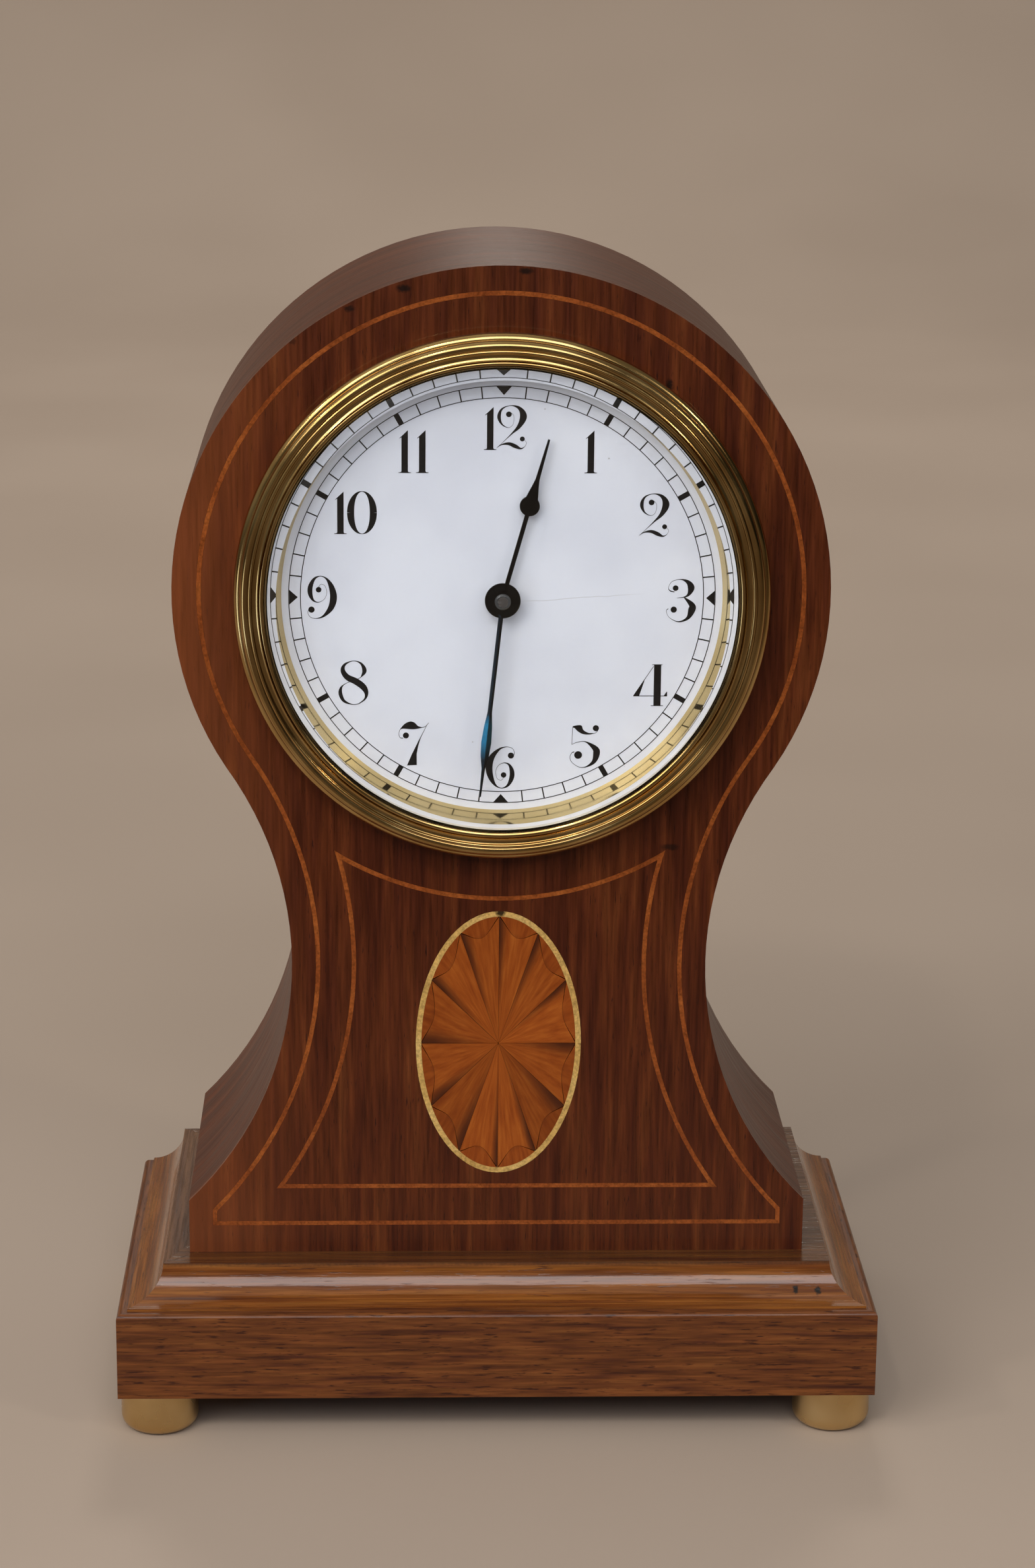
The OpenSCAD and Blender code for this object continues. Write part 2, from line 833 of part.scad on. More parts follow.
module front_plate() {
    color(brass) {
        slab(fp_f, fp_b)
            difference() {
                circle(plate_r);
                train_holes(false);
            }
        rod(thin_arbor, fp_f - 4.6, fp_f + 0.5, minute_p);
    }
}

module back_plate() {
    color(brass) {
        slab(bp_f, bp_b)
            difference() {
                circle(plate_r);
                train_holes(true);
                translate(balance_p) circle(2.3);
                translate(cock_p) circle(1.2 + seat_gap);
            }
        rod(1.3, bp_f - 6.6, bp_f + 0.5, potence_p);
        slab(bp_f - 7.2, bp_f - 6)
            difference() {
                bar(potence_p, balance_p, 3);
                translate(balance_p) circle(staff_pivot + pivot_gap);
            }
        rod(1, bp_b - 0.5, ratchet_b + 0.2, click_p);
    }
}

module pillars() {
    color(brass)
        for (p = pillar_pts)
            difference() {
                union() {
                    rod(pillar_r, fp_b, bp_f, p);
                    rod(1.4, fp_f, fp_b + 0.5, p);
                }
                rod(0.9 + seat_gap, bp_f - 6, bp_f + 1, p);
            }
}

module plate_screws() {
    color(steel) {
        for (p = pillar_pts) {
            rod(2.1, bp_b, bp_b + 1.1, p);
            rod(1.3, bp_f, bp_b + 0.5, p);
            rod(0.9, bp_f - 5, bp_f + 0.5, p);
        }
        rod(1.2, bp_f + 0.4, bp_b + cock_h, cock_p);
        rod(2.1, bp_b + cock_h + 1.6, bp_b + cock_h + 2.7, cock_p);
        rod(1.2, bp_b + cock_h - 0.5, bp_b + cock_h + 2, cock_p);
    }
}

// barrel and winding
module barrel() {
    turn = in_mesh(centre_pin_n, 0, barrel_dir, barrel_n);
    color(brass)
        difference() {
            union() {
                slab(barrel_f, drum_f, barrel_p) rotate(turn) polygon(wheel_pts(barrel_n, barrel_mod));
                rod(drum_r, drum_f - 0.2, drum_b, barrel_p);
            }
            rod(drum_r - drum_wall, drum_f, drum_b + 1, barrel_p);
            rod(barrel_arbor_r + pivot_gap, barrel_f - 1, drum_b + 1, barrel_p);
        }
}

module barrel_cover() {
    color(brass)
        slab(drum_b - 1, drum_b, barrel_p)
            difference() {
                circle(drum_r - drum_wall - seat_gap);
                circle(barrel_arbor_r + pivot_gap);
            }
}

module mainspring() {
    color(blued)
        slab(drum_f + 0.5, drum_b - 1.5, barrel_p)
            polygon(spiral_pts(barrel_hub + 0.7, drum_r - drum_wall - 0.5, main_turns, main_t, 24));
}

module barrel_arbor() {
    color(steel) {
        rod(1.4, fp_f, fp_b + 0.5, barrel_p);
        rod(barrel_arbor_r, fp_b + 0.3, bp_f - 0.3, barrel_p);
        rod(barrel_hub, drum_f + 0.3, drum_b - 1.3, barrel_p);
        rod(1.6, bp_f - 0.5, bp_b + 0.3, barrel_p);
        slab(bp_b, bp_b + 9, barrel_p) square(square_w, center = true);
    }
}

module ratchet_wheel() {
    step = 360 / ratchet_n;
    color(steel)
        slab(ratchet_f, ratchet_b, barrel_p)
            difference() {
                polygon([for (i = [0:ratchet_n - 1]) each
                    [polar(ratchet_r, i * step), polar(ratchet_r - 0.9, i * step + step * 0.12)]]);
                square(square_w + 2 * seat_gap, center = true);
            }
}

module click() {
    tip = barrel_p + polar(ratchet_r + pass_gap + 0.5, 112);
    color(steel)
        slab(ratchet_f, ratchet_b)
            difference() {
                union() {
                    translate(click_p) circle(2);
                    bar(click_p, tip, 1);
                }
                translate(click_p) circle(1 + pivot_gap);
            }
}

module click_spring() {
    foot = click_p + polar(4.5, 120);
    color(steel) {
        rod(0.9, bp_b, ratchet_b, foot);
        slab(ratchet_f + 0.2, ratchet_b - 0.2)
            bar(foot, click_p + polar(5.2, 36.4), 0.4);
    }
}

module winding_key() {
    top = bp_b + 13;
    color(steel) {
        slab(ratchet_b + 0.5, top, barrel_p)
            difference() {
                circle(2.8);
                square(square_w + 2 * seat_gap, center = true);
            }
        translate([barrel_p[0], 0, dial_z + barrel_p[1] - 1.1])
            linear_extrude(2.2)
                difference() {
                    union() {
                        for (s = [-1, 1])
                            translate([s * (key_w / 2 - 5), top + 5]) circle(5);
                        translate([-key_w / 2 + 5, top]) square([key_w - 10, 8]);
                    }
                    for (s = [-1, 1])
                        translate([s * (key_w / 2 - 5), top + 5]) circle(2.4);
                }
    }
}

// going train
module centre_arbor() {
    color(steel) rod(arbor_r, minute_y - hand_t - 1.2, bp_b + 15);
}

module centre_wheel() {
    color(brass)
        difference() {
            union() {
                rod(pipe_r, fp_b + 0.3, bp_f - 0.3);
                slab(fp_b + 0.6, fp_b + 3.6) polygon(pinion_pts(centre_pin_n, barrel_mod));
                slab(bp_f - 2.8, bp_f - 1.8) wheel_shape(centre_n, centre_mod, 0, 3, 1.5, 5);
            }
            rod(arbor_r + pivot_gap, fp_b, bp_f);
        }
}

module arbor_between(p) {
    rod(pivot_r, fp_f, bp_b, p);
    rod(thin_arbor, fp_b + 0.3, bp_f - 0.3, p);
}

module third_wheel() {
    turn = in_mesh(centre_n, 0, third_dir, third_pin_n);
    color(brass) {
        arbor_between(third_p);
        slab(bp_f - 3.6, bp_f - 1, third_p) rotate(turn) polygon(pinion_pts(third_pin_n, centre_mod));
        slab(bp_f - 6.2, bp_f - 5.4, third_p) wheel_shape(third_n, third_mod, 0, 2.4, 1.3, 5);
    }
}

module fourth_wheel() {
    turn = in_mesh(third_n, 0, fourth_dir, fourth_pin_n);
    color(brass) {
        arbor_between(fourth_p);
        slab(bp_f - 7, bp_f - 4.6, fourth_p) rotate(turn) polygon(pinion_pts(fourth_pin_n, third_mod));
        slab(bp_f - 11, bp_f - 10.2, fourth_p) wheel_shape(fourth_n, fourth_mod, 0, 2.2, 1.2, 5);
    }
}

module escape_wheel() {
    turn = in_mesh(fourth_n, 0, escape_dir, escape_pin_n);
    step = 360 / escape_n;
    color(brass) {
        arbor_between(escape_p);
        slab(bp_f - 12, bp_f - 9.4, escape_p) rotate(turn) polygon(pinion_pts(escape_pin_n, fourth_mod));
        slab(bp_f - 4, bp_f - 3.4, escape_p)
            polygon([for (i = [0:escape_n - 1]) each [
                polar(escape_r - 1, i * step), polar(escape_r, i * step + step * 0.42),
                polar(escape_r, i * step + step * 0.56), polar(escape_r - 1, i * step + step * 0.48)]]);
    }
}

module pallet_lever() {
    color(steel) {
        arbor_between(lever_p);
        slab(bp_f - 4.3, bp_f - 3.1)
            union() {
                for (a = [-34, 34])
                    bar(escape_p + polar(pallet_out + 0.5, lever_dir + a), lever_p, 1);
                bar(lever_p, balance_p + polar(2.9, balance_dir + 180), 1.1);
            }
    }
}

// balance
module balance_wheel() {
    color(brass) {
        rod(staff_r, bp_f - 5.8, bp_b + 5.4, balance_p);
        rod(staff_pivot, bp_f - 7.1, bp_b + cock_h + 1, balance_p);
        rod(1.8, bp_f - 4.4, bp_f - 3, balance_p);
        rod(hair_in - hair_t / 2 - 0.1, bp_b + 4.4, bp_b + 5.4, balance_p);
        slab(bp_b + 2.2, bp_b + 3.6, balance_p)
            difference() {
                circle(balance_r);
                difference() {
                    circle(balance_r - 1.2);
                    circle(1.6);
                    translate([-balance_r, -0.6]) square([2 * balance_r, 1.2]);
                }
            }
    }
}

module hairspring() {
    turn = cock_dir - 360 * (hair_turns - floor(hair_turns));
    color(blued)
        slab(bp_b + 4.6, bp_b + 5.2, balance_p)
            rotate(turn) polygon(spiral_pts(hair_in, hair_out, hair_turns, hair_t, 36));
}

module balance_cock() {
    color(brass)
        difference() {
            union() {
                rod(2.8, bp_b, bp_b + cock_h + 1.6, cock_p);
                slab(bp_b + cock_h, bp_b + cock_h + 1.6) bar(cock_p, balance_p, 5);
                rod(1.3, bp_b + 5.7, bp_b + cock_h + 0.5, balance_p);
                rod(0.4, bp_b + 4.6, bp_b + cock_h + 0.5,
                    balance_p + polar(hair_out + hair_t / 2 + 0.42, cock_dir));
            }
            rod(1.2 + seat_gap, bp_b - 1, bp_b + cock_h + 3, cock_p);
            rod(staff_pivot + pivot_gap, bp_b + 5, bp_b + cock_h + 1.2, balance_p);
        }
}

module regulator() {
    color(steel)
        slab(bp_b + 5.9, bp_b + 6.7)
            difference() {
                union() {
                    translate(balance_p) circle(2.6);
                    bar(balance_p, balance_p + polar(11, cock_dir + 180), 1);
                }
                translate(balance_p) circle(1.3 + pivot_gap);
            }
}

// motion work under the dial
module cannon_pinion() {
    color(steel)
        difference() {
            union() {
                rod(cannon_r, minute_y - hand_t, fp_f - 0.5);
                slab(fp_f - 2.2, fp_f - 0.6) polygon(pinion_pts(cannon_n, motion_mod));
            }
            rod(arbor_r, minute_y - 5, fp_f);
        }
}

module minute_wheel() {
    turn = in_mesh(cannon_n, 0, -90, minute_n);
    color(brass)
        difference() {
            union() {
                slab(fp_f - 1.9, fp_f - 1.1, minute_p) wheel_shape(minute_n, motion_mod, turn, 2.6, 1.3, 4);
                slab(fp_f - 4.3, fp_f - 1.5, minute_p) polygon(pinion_pts(minute_pin_n, hour_mod));
                rod(1.3, fp_f - 1.5, fp_f - 0.2, minute_p);
            }
            rod(thin_arbor + pivot_gap, fp_f - 5, fp_f, minute_p);
        }
}

module hour_wheel() {
    turn = in_mesh(minute_pin_n, 0, 90, hour_n);
    color(brass)
        difference() {
            union() {
                slab(fp_f - 3.8, fp_f - 3) wheel_shape(hour_n, hour_mod, turn, 3.4, 1.3, 4);
                rod(hour_pipe, hour_y - hand_t, fp_f - 3);
            }
            rod(cannon_r + pivot_gap, hour_y - 2, fp_f);
        }
}

// hands: drawn pointing up, then turned clockwise to the time shown
module hour_shape() {
    edge = concat([[0.4, 0]],
        [for (a = [-77.5:5:52.5]) [bulb_r * cos(a), bulb_at + bulb_r * sin(a)]],
        [[0.98, bulb_at + 2.3], [0.68, bulb_at + 3.6], [0.38, bulb_at + 5.2], [0.2, hour_len]]);
    last = len(edge) - 1;
    circle(3);
    polygon(concat(edge, [for (i = [last:-1:0]) [-edge[i][0], edge[i][1]]]));
}

module minute_shape() {
    polygon([[-0.45, 0], [-0.42, 21.6], [-0.78, 24.6], [-0.95, 27.6], [-0.78, 30.2], [-0.32, 32.8],
        [-0.16, minute_len], [0.16, minute_len], [0.32, 32.8], [0.78, 30.2], [0.95, 27.6], [0.78, 24.6],
        [0.42, 21.6], [0.45, 0]]);
}

// roof that gives the minute hand two facets and a ridge
module ridge_roof() {
    rotate([-90, 0, 0])
        linear_extrude(minute_len + 1)
            polygon([[-1, 0], [1, 0], [1, -hand_edge], [0, -hand_edge - ridge_h], [-1, -hand_edge]]);
}

module hour_hand() {
    color(blued)
        slab(hour_y - hand_t, hour_y)
            difference() {
                rotate(-shown_min / 2) hour_shape();
                circle(hour_pipe);
            }
}

module minute_hand() {
    color(blued)
        difference() {
            union() {
                translate([0, minute_y, dial_z])
                    rotate([90, 0, 0])
                        rotate(-shown_min * 6)
                            intersection() {
                                linear_extrude(hand_edge + ridge_h) minute_shape();
                                ridge_roof();
                            }
                turned(minute_y)
                    polygon([[0, 0], [boss_r, 0], [boss_r, hand_t - 0.15], [boss_r - 0.15, hand_t],
                        [boss_r - 0.6, hand_t], [boss_r - 0.75, hand_t + 0.4], [boss_r - 0.9, hand_t + 0.5],
                        [0, hand_t + 0.5]]);
            }
            rod(cannon_r, minute_y - hand_t, minute_y + 1);
            rod(arbor_r, minute_y - 5, minute_y + 1);
        }
}

module hand_nut() {
    color(steel)
        turned(minute_y - hand_t - 0.5)
            polygon([[arbor_r, 0], [1.5, 0], [1.5, 0.4], [1.2, 0.65], [arbor_r, 0.65]]);
}

module set_knob() {
    color(brass)
        difference() {
            turned(bp_b + 15)
                polygon([[arbor_r, 0], [knob_r - 0.5, 0], [knob_r, 0.5], [knob_r, 3.2], [knob_r - 0.5, 3.7],
                    [2.4, 4.2], [2.4, 7], [arbor_r, 7]]);
            for (a = [0:15:345])
                rod(0.45, bp_b + 10, bp_b + 16, polar(knob_r + 0.15, a));
        }
}

plinth_block();
plinth_moulding();
front_feet();
back_feet();
floor_board();
case_screws();
case_band();
front_board();
front_veneer();
back_board();
back_board_screws();
outer_stringing();
panel_stringing();
oval_border();
fan_petals();
fan_lunettes();
bezel();
glass();
glass_ring();
dial();
dial_plate();
bezel_screws();
dial_posts();
case_straps();
strap_screws();
door_ring();
door();
hinge_pin();
door_knob();
front_plate();
back_plate();
pillars();
plate_screws();
barrel();
barrel_cover();
mainspring();
barrel_arbor();
ratchet_wheel();
click();
click_spring();
winding_key();
centre_arbor();
centre_wheel();
third_wheel();
fourth_wheel();
escape_wheel();
pallet_lever();
balance_wheel();
hairspring();
balance_cock();
regulator();
cannon_pinion();
minute_wheel();
hour_wheel();
hour_hand();
minute_hand();
hand_nut();
set_knob();
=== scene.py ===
"""Looks of an inlaid balloon clock: polished wood, brass, enamel dial with its numerals, and glass."""
import math

import bpy
from mathutils import Matrix, Vector


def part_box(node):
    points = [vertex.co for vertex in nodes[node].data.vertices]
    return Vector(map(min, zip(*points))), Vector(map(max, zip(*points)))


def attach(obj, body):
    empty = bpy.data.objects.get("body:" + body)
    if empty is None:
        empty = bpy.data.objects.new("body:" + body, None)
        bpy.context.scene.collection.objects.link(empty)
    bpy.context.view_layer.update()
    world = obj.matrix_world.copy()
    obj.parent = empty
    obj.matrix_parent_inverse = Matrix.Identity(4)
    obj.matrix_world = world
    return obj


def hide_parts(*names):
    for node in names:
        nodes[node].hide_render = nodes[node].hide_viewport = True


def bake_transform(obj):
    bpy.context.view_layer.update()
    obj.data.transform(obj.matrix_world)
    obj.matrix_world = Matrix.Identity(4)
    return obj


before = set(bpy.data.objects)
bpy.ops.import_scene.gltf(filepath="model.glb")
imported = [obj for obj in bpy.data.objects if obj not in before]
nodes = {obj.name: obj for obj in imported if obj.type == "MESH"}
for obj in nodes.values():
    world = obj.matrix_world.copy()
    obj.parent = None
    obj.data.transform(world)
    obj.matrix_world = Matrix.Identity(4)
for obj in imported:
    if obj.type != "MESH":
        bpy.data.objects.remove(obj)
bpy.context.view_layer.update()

MM = 0.001
TURN_STEPS = 240                    # sides of a turned round
SMOOTH_UNDER = math.radians(30)     # edges flatter than this are shaded smooth
LEFT_OUT = 1e6                      # a texture scale so large that its axis does not count
PETALS = 12
BORDER_W = 1.1 * MM
scene = bpy.context.scene

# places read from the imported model, in metres
dial_low, dial_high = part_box("dial")
DIAL_Z = (dial_low.z + dial_high.z) / 2
DIAL_FACE = dial_low.y
VENEER_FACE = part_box("front_veneer")[0].y
border_low, border_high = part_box("oval_border")
OVAL_Z = (border_low.z + border_high.z) / 2
FAN_A = (border_high.x - border_low.x) / 2 - BORDER_W
FAN_B = (border_high.z - border_low.z) / 2 - BORDER_W


# camera, stage and light

def aim_camera():
    """The photograph's viewpoint, solved from it: a little left of the middle, looking down at the clock."""
    place = Vector((-18.95, -677.54, 313.13)) * MM
    yaw, pitch, roll = (math.radians(angle) for angle in (1.951, 15.739, 0.558))
    ahead = Vector((math.sin(yaw) * math.cos(pitch), math.cos(yaw) * math.cos(pitch), -math.sin(pitch)))
    right = Vector((math.cos(yaw), -math.sin(yaw), 0))
    up = right.cross(ahead)
    level_right = right * math.cos(roll) + up * math.sin(roll)
    level_up = up * math.cos(roll) - right * math.sin(roll)
    lens = bpy.data.cameras.new("camera")
    lens.lens = 81.47
    lens.sensor_width = 36
    lens.clip_start = 0.01
    camera = bpy.data.objects.new("camera", lens)
    scene.collection.objects.link(camera)
    camera.matrix_world = Matrix((level_right, level_up, -ahead)).transposed().to_4x4()
    camera.location = place
    scene.camera = camera


def only(piece):
    """Selects one object alone and makes it the active one."""
    bpy.ops.object.select_all(action="DESELECT")
    piece.select_set(True)
    bpy.context.view_layer.objects.active = piece


def lay_stage():
    """A wide floor that turns up into a wall far behind the clock through a cove."""
    wide, front_y, wall_y, wall_high = 18, -9.0, 2.0, 2.2
    bpy.ops.object.select_all(action="DESELECT")
    bpy.ops.mesh.primitive_plane_add(size=1, location=(0, 0, 0))
    stage = bpy.context.object
    stage.name = "stage"
    for corner in stage.data.vertices:
        corner.co.x *= wide
        corner.co.y = wall_y if corner.co.y > 0 else front_y
    bpy.ops.object.mode_set(mode="EDIT")
    bpy.ops.mesh.select_all(action="DESELECT")
    bpy.ops.object.mode_set(mode="OBJECT")
    for edge in stage.data.edges:
        edge.select = all(stage.data.vertices[i].co.y > 0 for i in edge.vertices)
    bpy.ops.object.mode_set(mode="EDIT")
    bpy.ops.mesh.extrude_region_move(TRANSFORM_OT_translate={"value": (0, 0, wall_high)})
    bpy.ops.object.mode_set(mode="OBJECT")
    fold = stage.modifiers.new("cove", "BEVEL")
    fold.width = 0.6
    fold.segments = 24
    fold.limit_method = "ANGLE"
    bpy.ops.object.modifier_apply(modifier="cove")
    bpy.ops.object.shade_smooth()
    stage.data.materials.append(painted_board())


def hang_lamp(name, place, size, power, colour, aim=(0, 0, 0.12), spread=180):
    """A square soft lamp that looks at the clock; spread is the angle that its light fills."""
    data = bpy.data.lights.new(name, "AREA")
    data.energy = power
    data.size = size
    data.spread = math.radians(spread)
    data.color = linear(colour)[:3]
    lamp = bpy.data.objects.new(name, data)
    scene.collection.objects.link(lamp)
    lamp.location = place
    lamp.rotation_euler = (Vector(aim) - Vector(place)).to_track_quat("-Z", "Y").to_euler()


def light_studio():
    """Soft windows round the clock, light on the wall, and small lamps for the hands and the brass."""
    hang_lamp("window_left", (-0.95, -1.15, 1.15), 0.8, 11, "#fff6ea")
    hang_lamp("window_right", (1.2, -1.1, 1.0), 0.6, 1, "#fff4e4")
    hang_lamp("window_ahead", (0.05, -1.2, 1.05), 0.8, 7.5, "#f8f8fa")
    # light on the floor and the wall behind the clock
    hang_lamp("backdrop_wash", (0, 0.7, 1.7), 1.2, 2.2, "#fff4e4", (0, 1.6, 0.1), 100)
    # straight behind the clock, which hides it from the polish of the moulding
    hang_lamp("window_behind", (0.045, 1.5, 1.2), 0.34, 6.5, "#fff6ea")
    # a small card low on the left lights the left facets of the hands
    hang_lamp("blue_card", (-0.36, -0.33, 0.06), 0.12, 0.14, "#cfe4ff", (0, 0, 0.14))
    # three small lamps give the sparks on the brass reeds
    middle = Vector((0, 0, DIAL_Z))
    far, size, power = 1.6, 0.1, 2.2
    for name, way in (("spark_left", (-0.73, -0.33, 0.6)), ("spark_top", (-0.224, -0.678, 0.7)),
                      ("spark_right", (0.695, -0.56, 0.45))):
        hang_lamp(name, middle + far * Vector(way), size, power, "#fff4e0", middle)


def light_room():
    """Light from all round, stronger on the left and dim below the table."""
    world = bpy.data.worlds.new("room")
    world.use_nodes = True
    scene.world = world
    tree = world.node_tree
    backdrop = tree.nodes["Background"]
    backdrop.inputs["Color"].default_value = linear("#d8d4cc")
    way = add(tree, "SeparateXYZ", {0: add(tree, "TexCoord").outputs["Generated"]})
    above = add(tree, "MapRange", {"Value": way.outputs[2], "From Min": -0.1, "From Max": 1.0,
                                   "To Min": 0.1, "To Max": 2.5})
    left = add(tree, "MapRange", {"Value": way.outputs[0], "From Min": 0.9, "From Max": -0.9,
                                  "To Min": 0.04, "To Max": 0.45})
    level = add(tree, "Math", {0: above, 1: left}, operation="MULTIPLY")
    tree.links.new(level.outputs[0], backdrop.inputs["Strength"])
    scene.view_settings.view_transform = "Standard"


# materials

def linear(code):
    """An sRGB hex value as the linear colour that shaders take."""
    parts = [int(code[i:i + 2], 16) / 255 for i in (1, 3, 5)]
    return [c / 12.92 if c <= 0.04045 else ((c + 0.055) / 1.055) ** 2.4 for c in parts] + [1]


def live(node):
    """A node's first live output."""
    return next(socket for socket in node.outputs if socket.enabled)


def add(tree, kind, inputs=None, stops=(), **settings):
    """Adds a node with its settings and links.
    An input is a value, a socket, or a node, which stands for its first live output."""
    made = tree.nodes.new("ShaderNode" + kind)
    for name, value in settings.items():
        setattr(made, name, value)
    for i, (at, code) in enumerate(stops):
        ramp = made.color_ramp.elements
        stop = ramp[i] if i < 2 else ramp.new(at)
        stop.position = at
        stop.color = linear(code)
    for key, value in (inputs or {}).items():
        if isinstance(key, int):
            socket = made.inputs[key]
        else:
            socket = next(s for s in made.inputs if s.enabled and s.name == key)
        if isinstance(value, bpy.types.Node):
            value = live(value)
        if isinstance(value, bpy.types.NodeSocket):
            tree.links.new(value, socket)
        else:
            socket.default_value = value
    return made


def begin(name, **sockets):
    """A new material with its shader's even values set on the shader's own sockets."""
    made = bpy.data.materials.new(name)
    made.use_nodes = True
    tree = made.node_tree
    shader = tree.nodes["Principled BSDF"]
    for key, value in sockets.items():
        shader.inputs[key.replace("_", " ")].default_value = value
    return made, tree, shader


def stain(tree, amount, tone, code):
    """Lays a colour over a tone where a mask says so."""
    return add(tree, "Mix", {"Factor": amount, "A": tone, "B": linear(code)}, data_type="RGBA")


def wire(tree, shader, tone, dull=None, bump=None):
    """Gives a shader its colour, and its roughness and relief where it has them."""
    for node, socket in ((tone, "Base Color"), (dull, "Roughness"), (bump, "Normal")):
        if node is not None:
            tree.links.new(live(node), shader.inputs[socket])


def dial_radius(tree, place):
    """The distance from the dial's axis, in mm."""
    at_axis = add(tree, "Mapping", {"Vector": place, "Location": (0, 0, DIAL_Z),
                                    "Scale": (MM, LEFT_OUT, MM)}, vector_type="TEXTURE")
    return add(tree, "VectorMath", {0: at_axis}, operation="LENGTH")


def spots(tree, place, marks):
    """A mask of dark marks in the front plane, with soft edges that fray by up to half a millimetre.
    Each mark is (x, z, half width, half height, strength), in mm."""
    fray = add(tree, "TexNoise", {"Vector": place, "Scale": 1800.0, "Detail": 2.0})
    shift = add(tree, "VectorMath", {0: fray.outputs["Color"], 1: (0.5, 0.5, 0.5)}, operation="SUBTRACT")
    frayed = add(tree, "VectorMath", {0: shift, 1: (0.9 * MM,) * 3, 2: place}, operation="MULTIPLY_ADD")
    mask = None
    for x, z, wide, high, strength in marks:
        near = add(tree, "Mapping", {"Vector": frayed, "Location": (x * MM, 0, z * MM),
                                     "Scale": (wide * MM, LEFT_OUT, high * MM)}, vector_type="TEXTURE")
        far = add(tree, "VectorMath", {0: near}, operation="LENGTH")
        mark = add(tree, "MapRange", {"Value": far, "From Min": 1.0, "From Max": 0.45, "To Max": strength})
        mask = mark if mask is None else add(tree, "Math", {0: mask, 1: mark}, operation="MAXIMUM")
    return mask


def painted_board():
    """Eggshell paint on a smooth board: pale and warm, with no shine.
    A deeper strip ahead of the picture keeps the floor out of the polish and the glass."""
    made, tree, shader = begin("eggshell_paint", Roughness=0.75, Specular_IOR_Level=0.1)
    place = add(tree, "TexCoord").outputs["Object"]
    cloud = add(tree, "TexNoise", {"Vector": place, "Scale": 4.0, "Detail": 2.0})
    tone = add(tree, "ValToRGB", {"Fac": cloud}, stops=((0.35, "#a89a8f"), (0.65, "#aea095")))
    at = add(tree, "SeparateXYZ", {0: place})
    starts = add(tree, "MapRange", {"Value": at.outputs[1], "From Min": -0.1, "From Max": -0.4})
    ends = add(tree, "MapRange", {"Value": at.outputs[1], "From Min": -1.9, "From Max": -1.1})
    strip = add(tree, "Math", {0: starts, 1: ends}, operation="MULTIPLY")
    wire(tree, shader, stain(tree, strip, tone, "#574d45"))
    return made


# the polish that the woods share
POLISH = {"Coat_Roughness": 0.09, "Specular_IOR_Level": 0.15}


def wood(name, tones, pore_tone, grain, along="z", sides=False, marks=(), rough=0.34, coat=0.2,
         fleck=0.62, paler_left=0.0):
    """Polished wood: ribbons of tone, fine fibre and open pores, all drawn out along the grain.
    grain gives (across, along) in mm for ribbon, fibre and pore; the last two are coarse enough to show.
    The front is made paler towards its left edge, by as much as the last argument says."""
    made, tree, shader = begin(name, Coat_Weight=coat, **POLISH)
    where = add(tree, "TexCoord")
    place = where.outputs["Object"]
    grained = place
    if sides:
        # the runs on the two ends have their grain turned round the corner
        at = add(tree, "SeparateXYZ", {0: place})
        turned = add(tree, "CombineXYZ", {0: at.outputs[1], 1: at.outputs[0], 2: at.outputs[2]})
        facing = add(tree, "VectorMath", {0: where.outputs["Normal"]}, operation="ABSOLUTE")
        way = add(tree, "SeparateXYZ", {0: facing})
        on_side = add(tree, "Math", {0: way.outputs[0], 1: way.outputs[1]}, operation="GREATER_THAN")
        grained = add(tree, "Mix", {"Factor": on_side, "A": place, "B": turned}, data_type="VECTOR")
    layers = []
    for across, run in grain:
        stretch = [1 / MM / (run if axis in along else across) for axis in "xyz"]
        drawn = add(tree, "Mapping", {"Vector": grained, "Scale": stretch})
        layers.append(add(tree, "TexNoise", {"Vector": drawn, "Scale": 1.0, "Detail": 3.0,
                                             "Roughness": 0.55}))
    ribbon, fibre, pore = layers
    steps = [(0.28 + 0.44 * i / (len(tones) - 1), tone) for i, tone in enumerate(tones)]
    tone = add(tree, "ValToRGB", {"Fac": ribbon}, stops=steps)
    thread = add(tree, "ValToRGB", {"Fac": fibre}, stops=((0.3, "#a8a8a8"), (0.7, "#ffffff")))
    tone = add(tree, "Mix", {"Factor": 0.8, "A": tone, "B": thread}, data_type="RGBA",
               blend_type="MULTIPLY")
    open_pore = add(tree, "MapRange", {"Value": pore, "From Min": fleck, "From Max": fleck + 0.1})
    tone = stain(tree, open_pore, tone, pore_tone)
    # the front is made paler towards its left edge
    if paler_left:
        left = add(tree, "SeparateXYZ", {0: place})
        pale = add(tree, "MapRange", {"Value": left.outputs[0], "From Min": -36 * MM, "From Max": -60 * MM,
                                      "To Max": paler_left})
        tone = stain(tree, pale, tone, "#a25c34")
    # dark marks; on the moulding one of them is a strip of painted shade under the case
    if marks:
        tone = stain(tree, spots(tree, place, marks), tone, "#140a07")
    dull = add(tree, "MapRange", {"Value": fibre, "From Min": 0.3, "From Max": 0.7,
                                  "To Min": rough - 0.08, "To Max": rough + 0.1})
    relief = add(tree, "Math", {0: fibre, 1: open_pore}, operation="SUBTRACT")
    bump = add(tree, "Bump", {"Strength": 0.25, "Distance": 0.05 * MM, "Height": relief})
    wire(tree, shader, tone, dull, bump)
    # the polish has sunk into the grain, so the grain breaks up its shine as well
    tree.links.new(live(bump), shader.inputs["Coat Normal"])
    return made


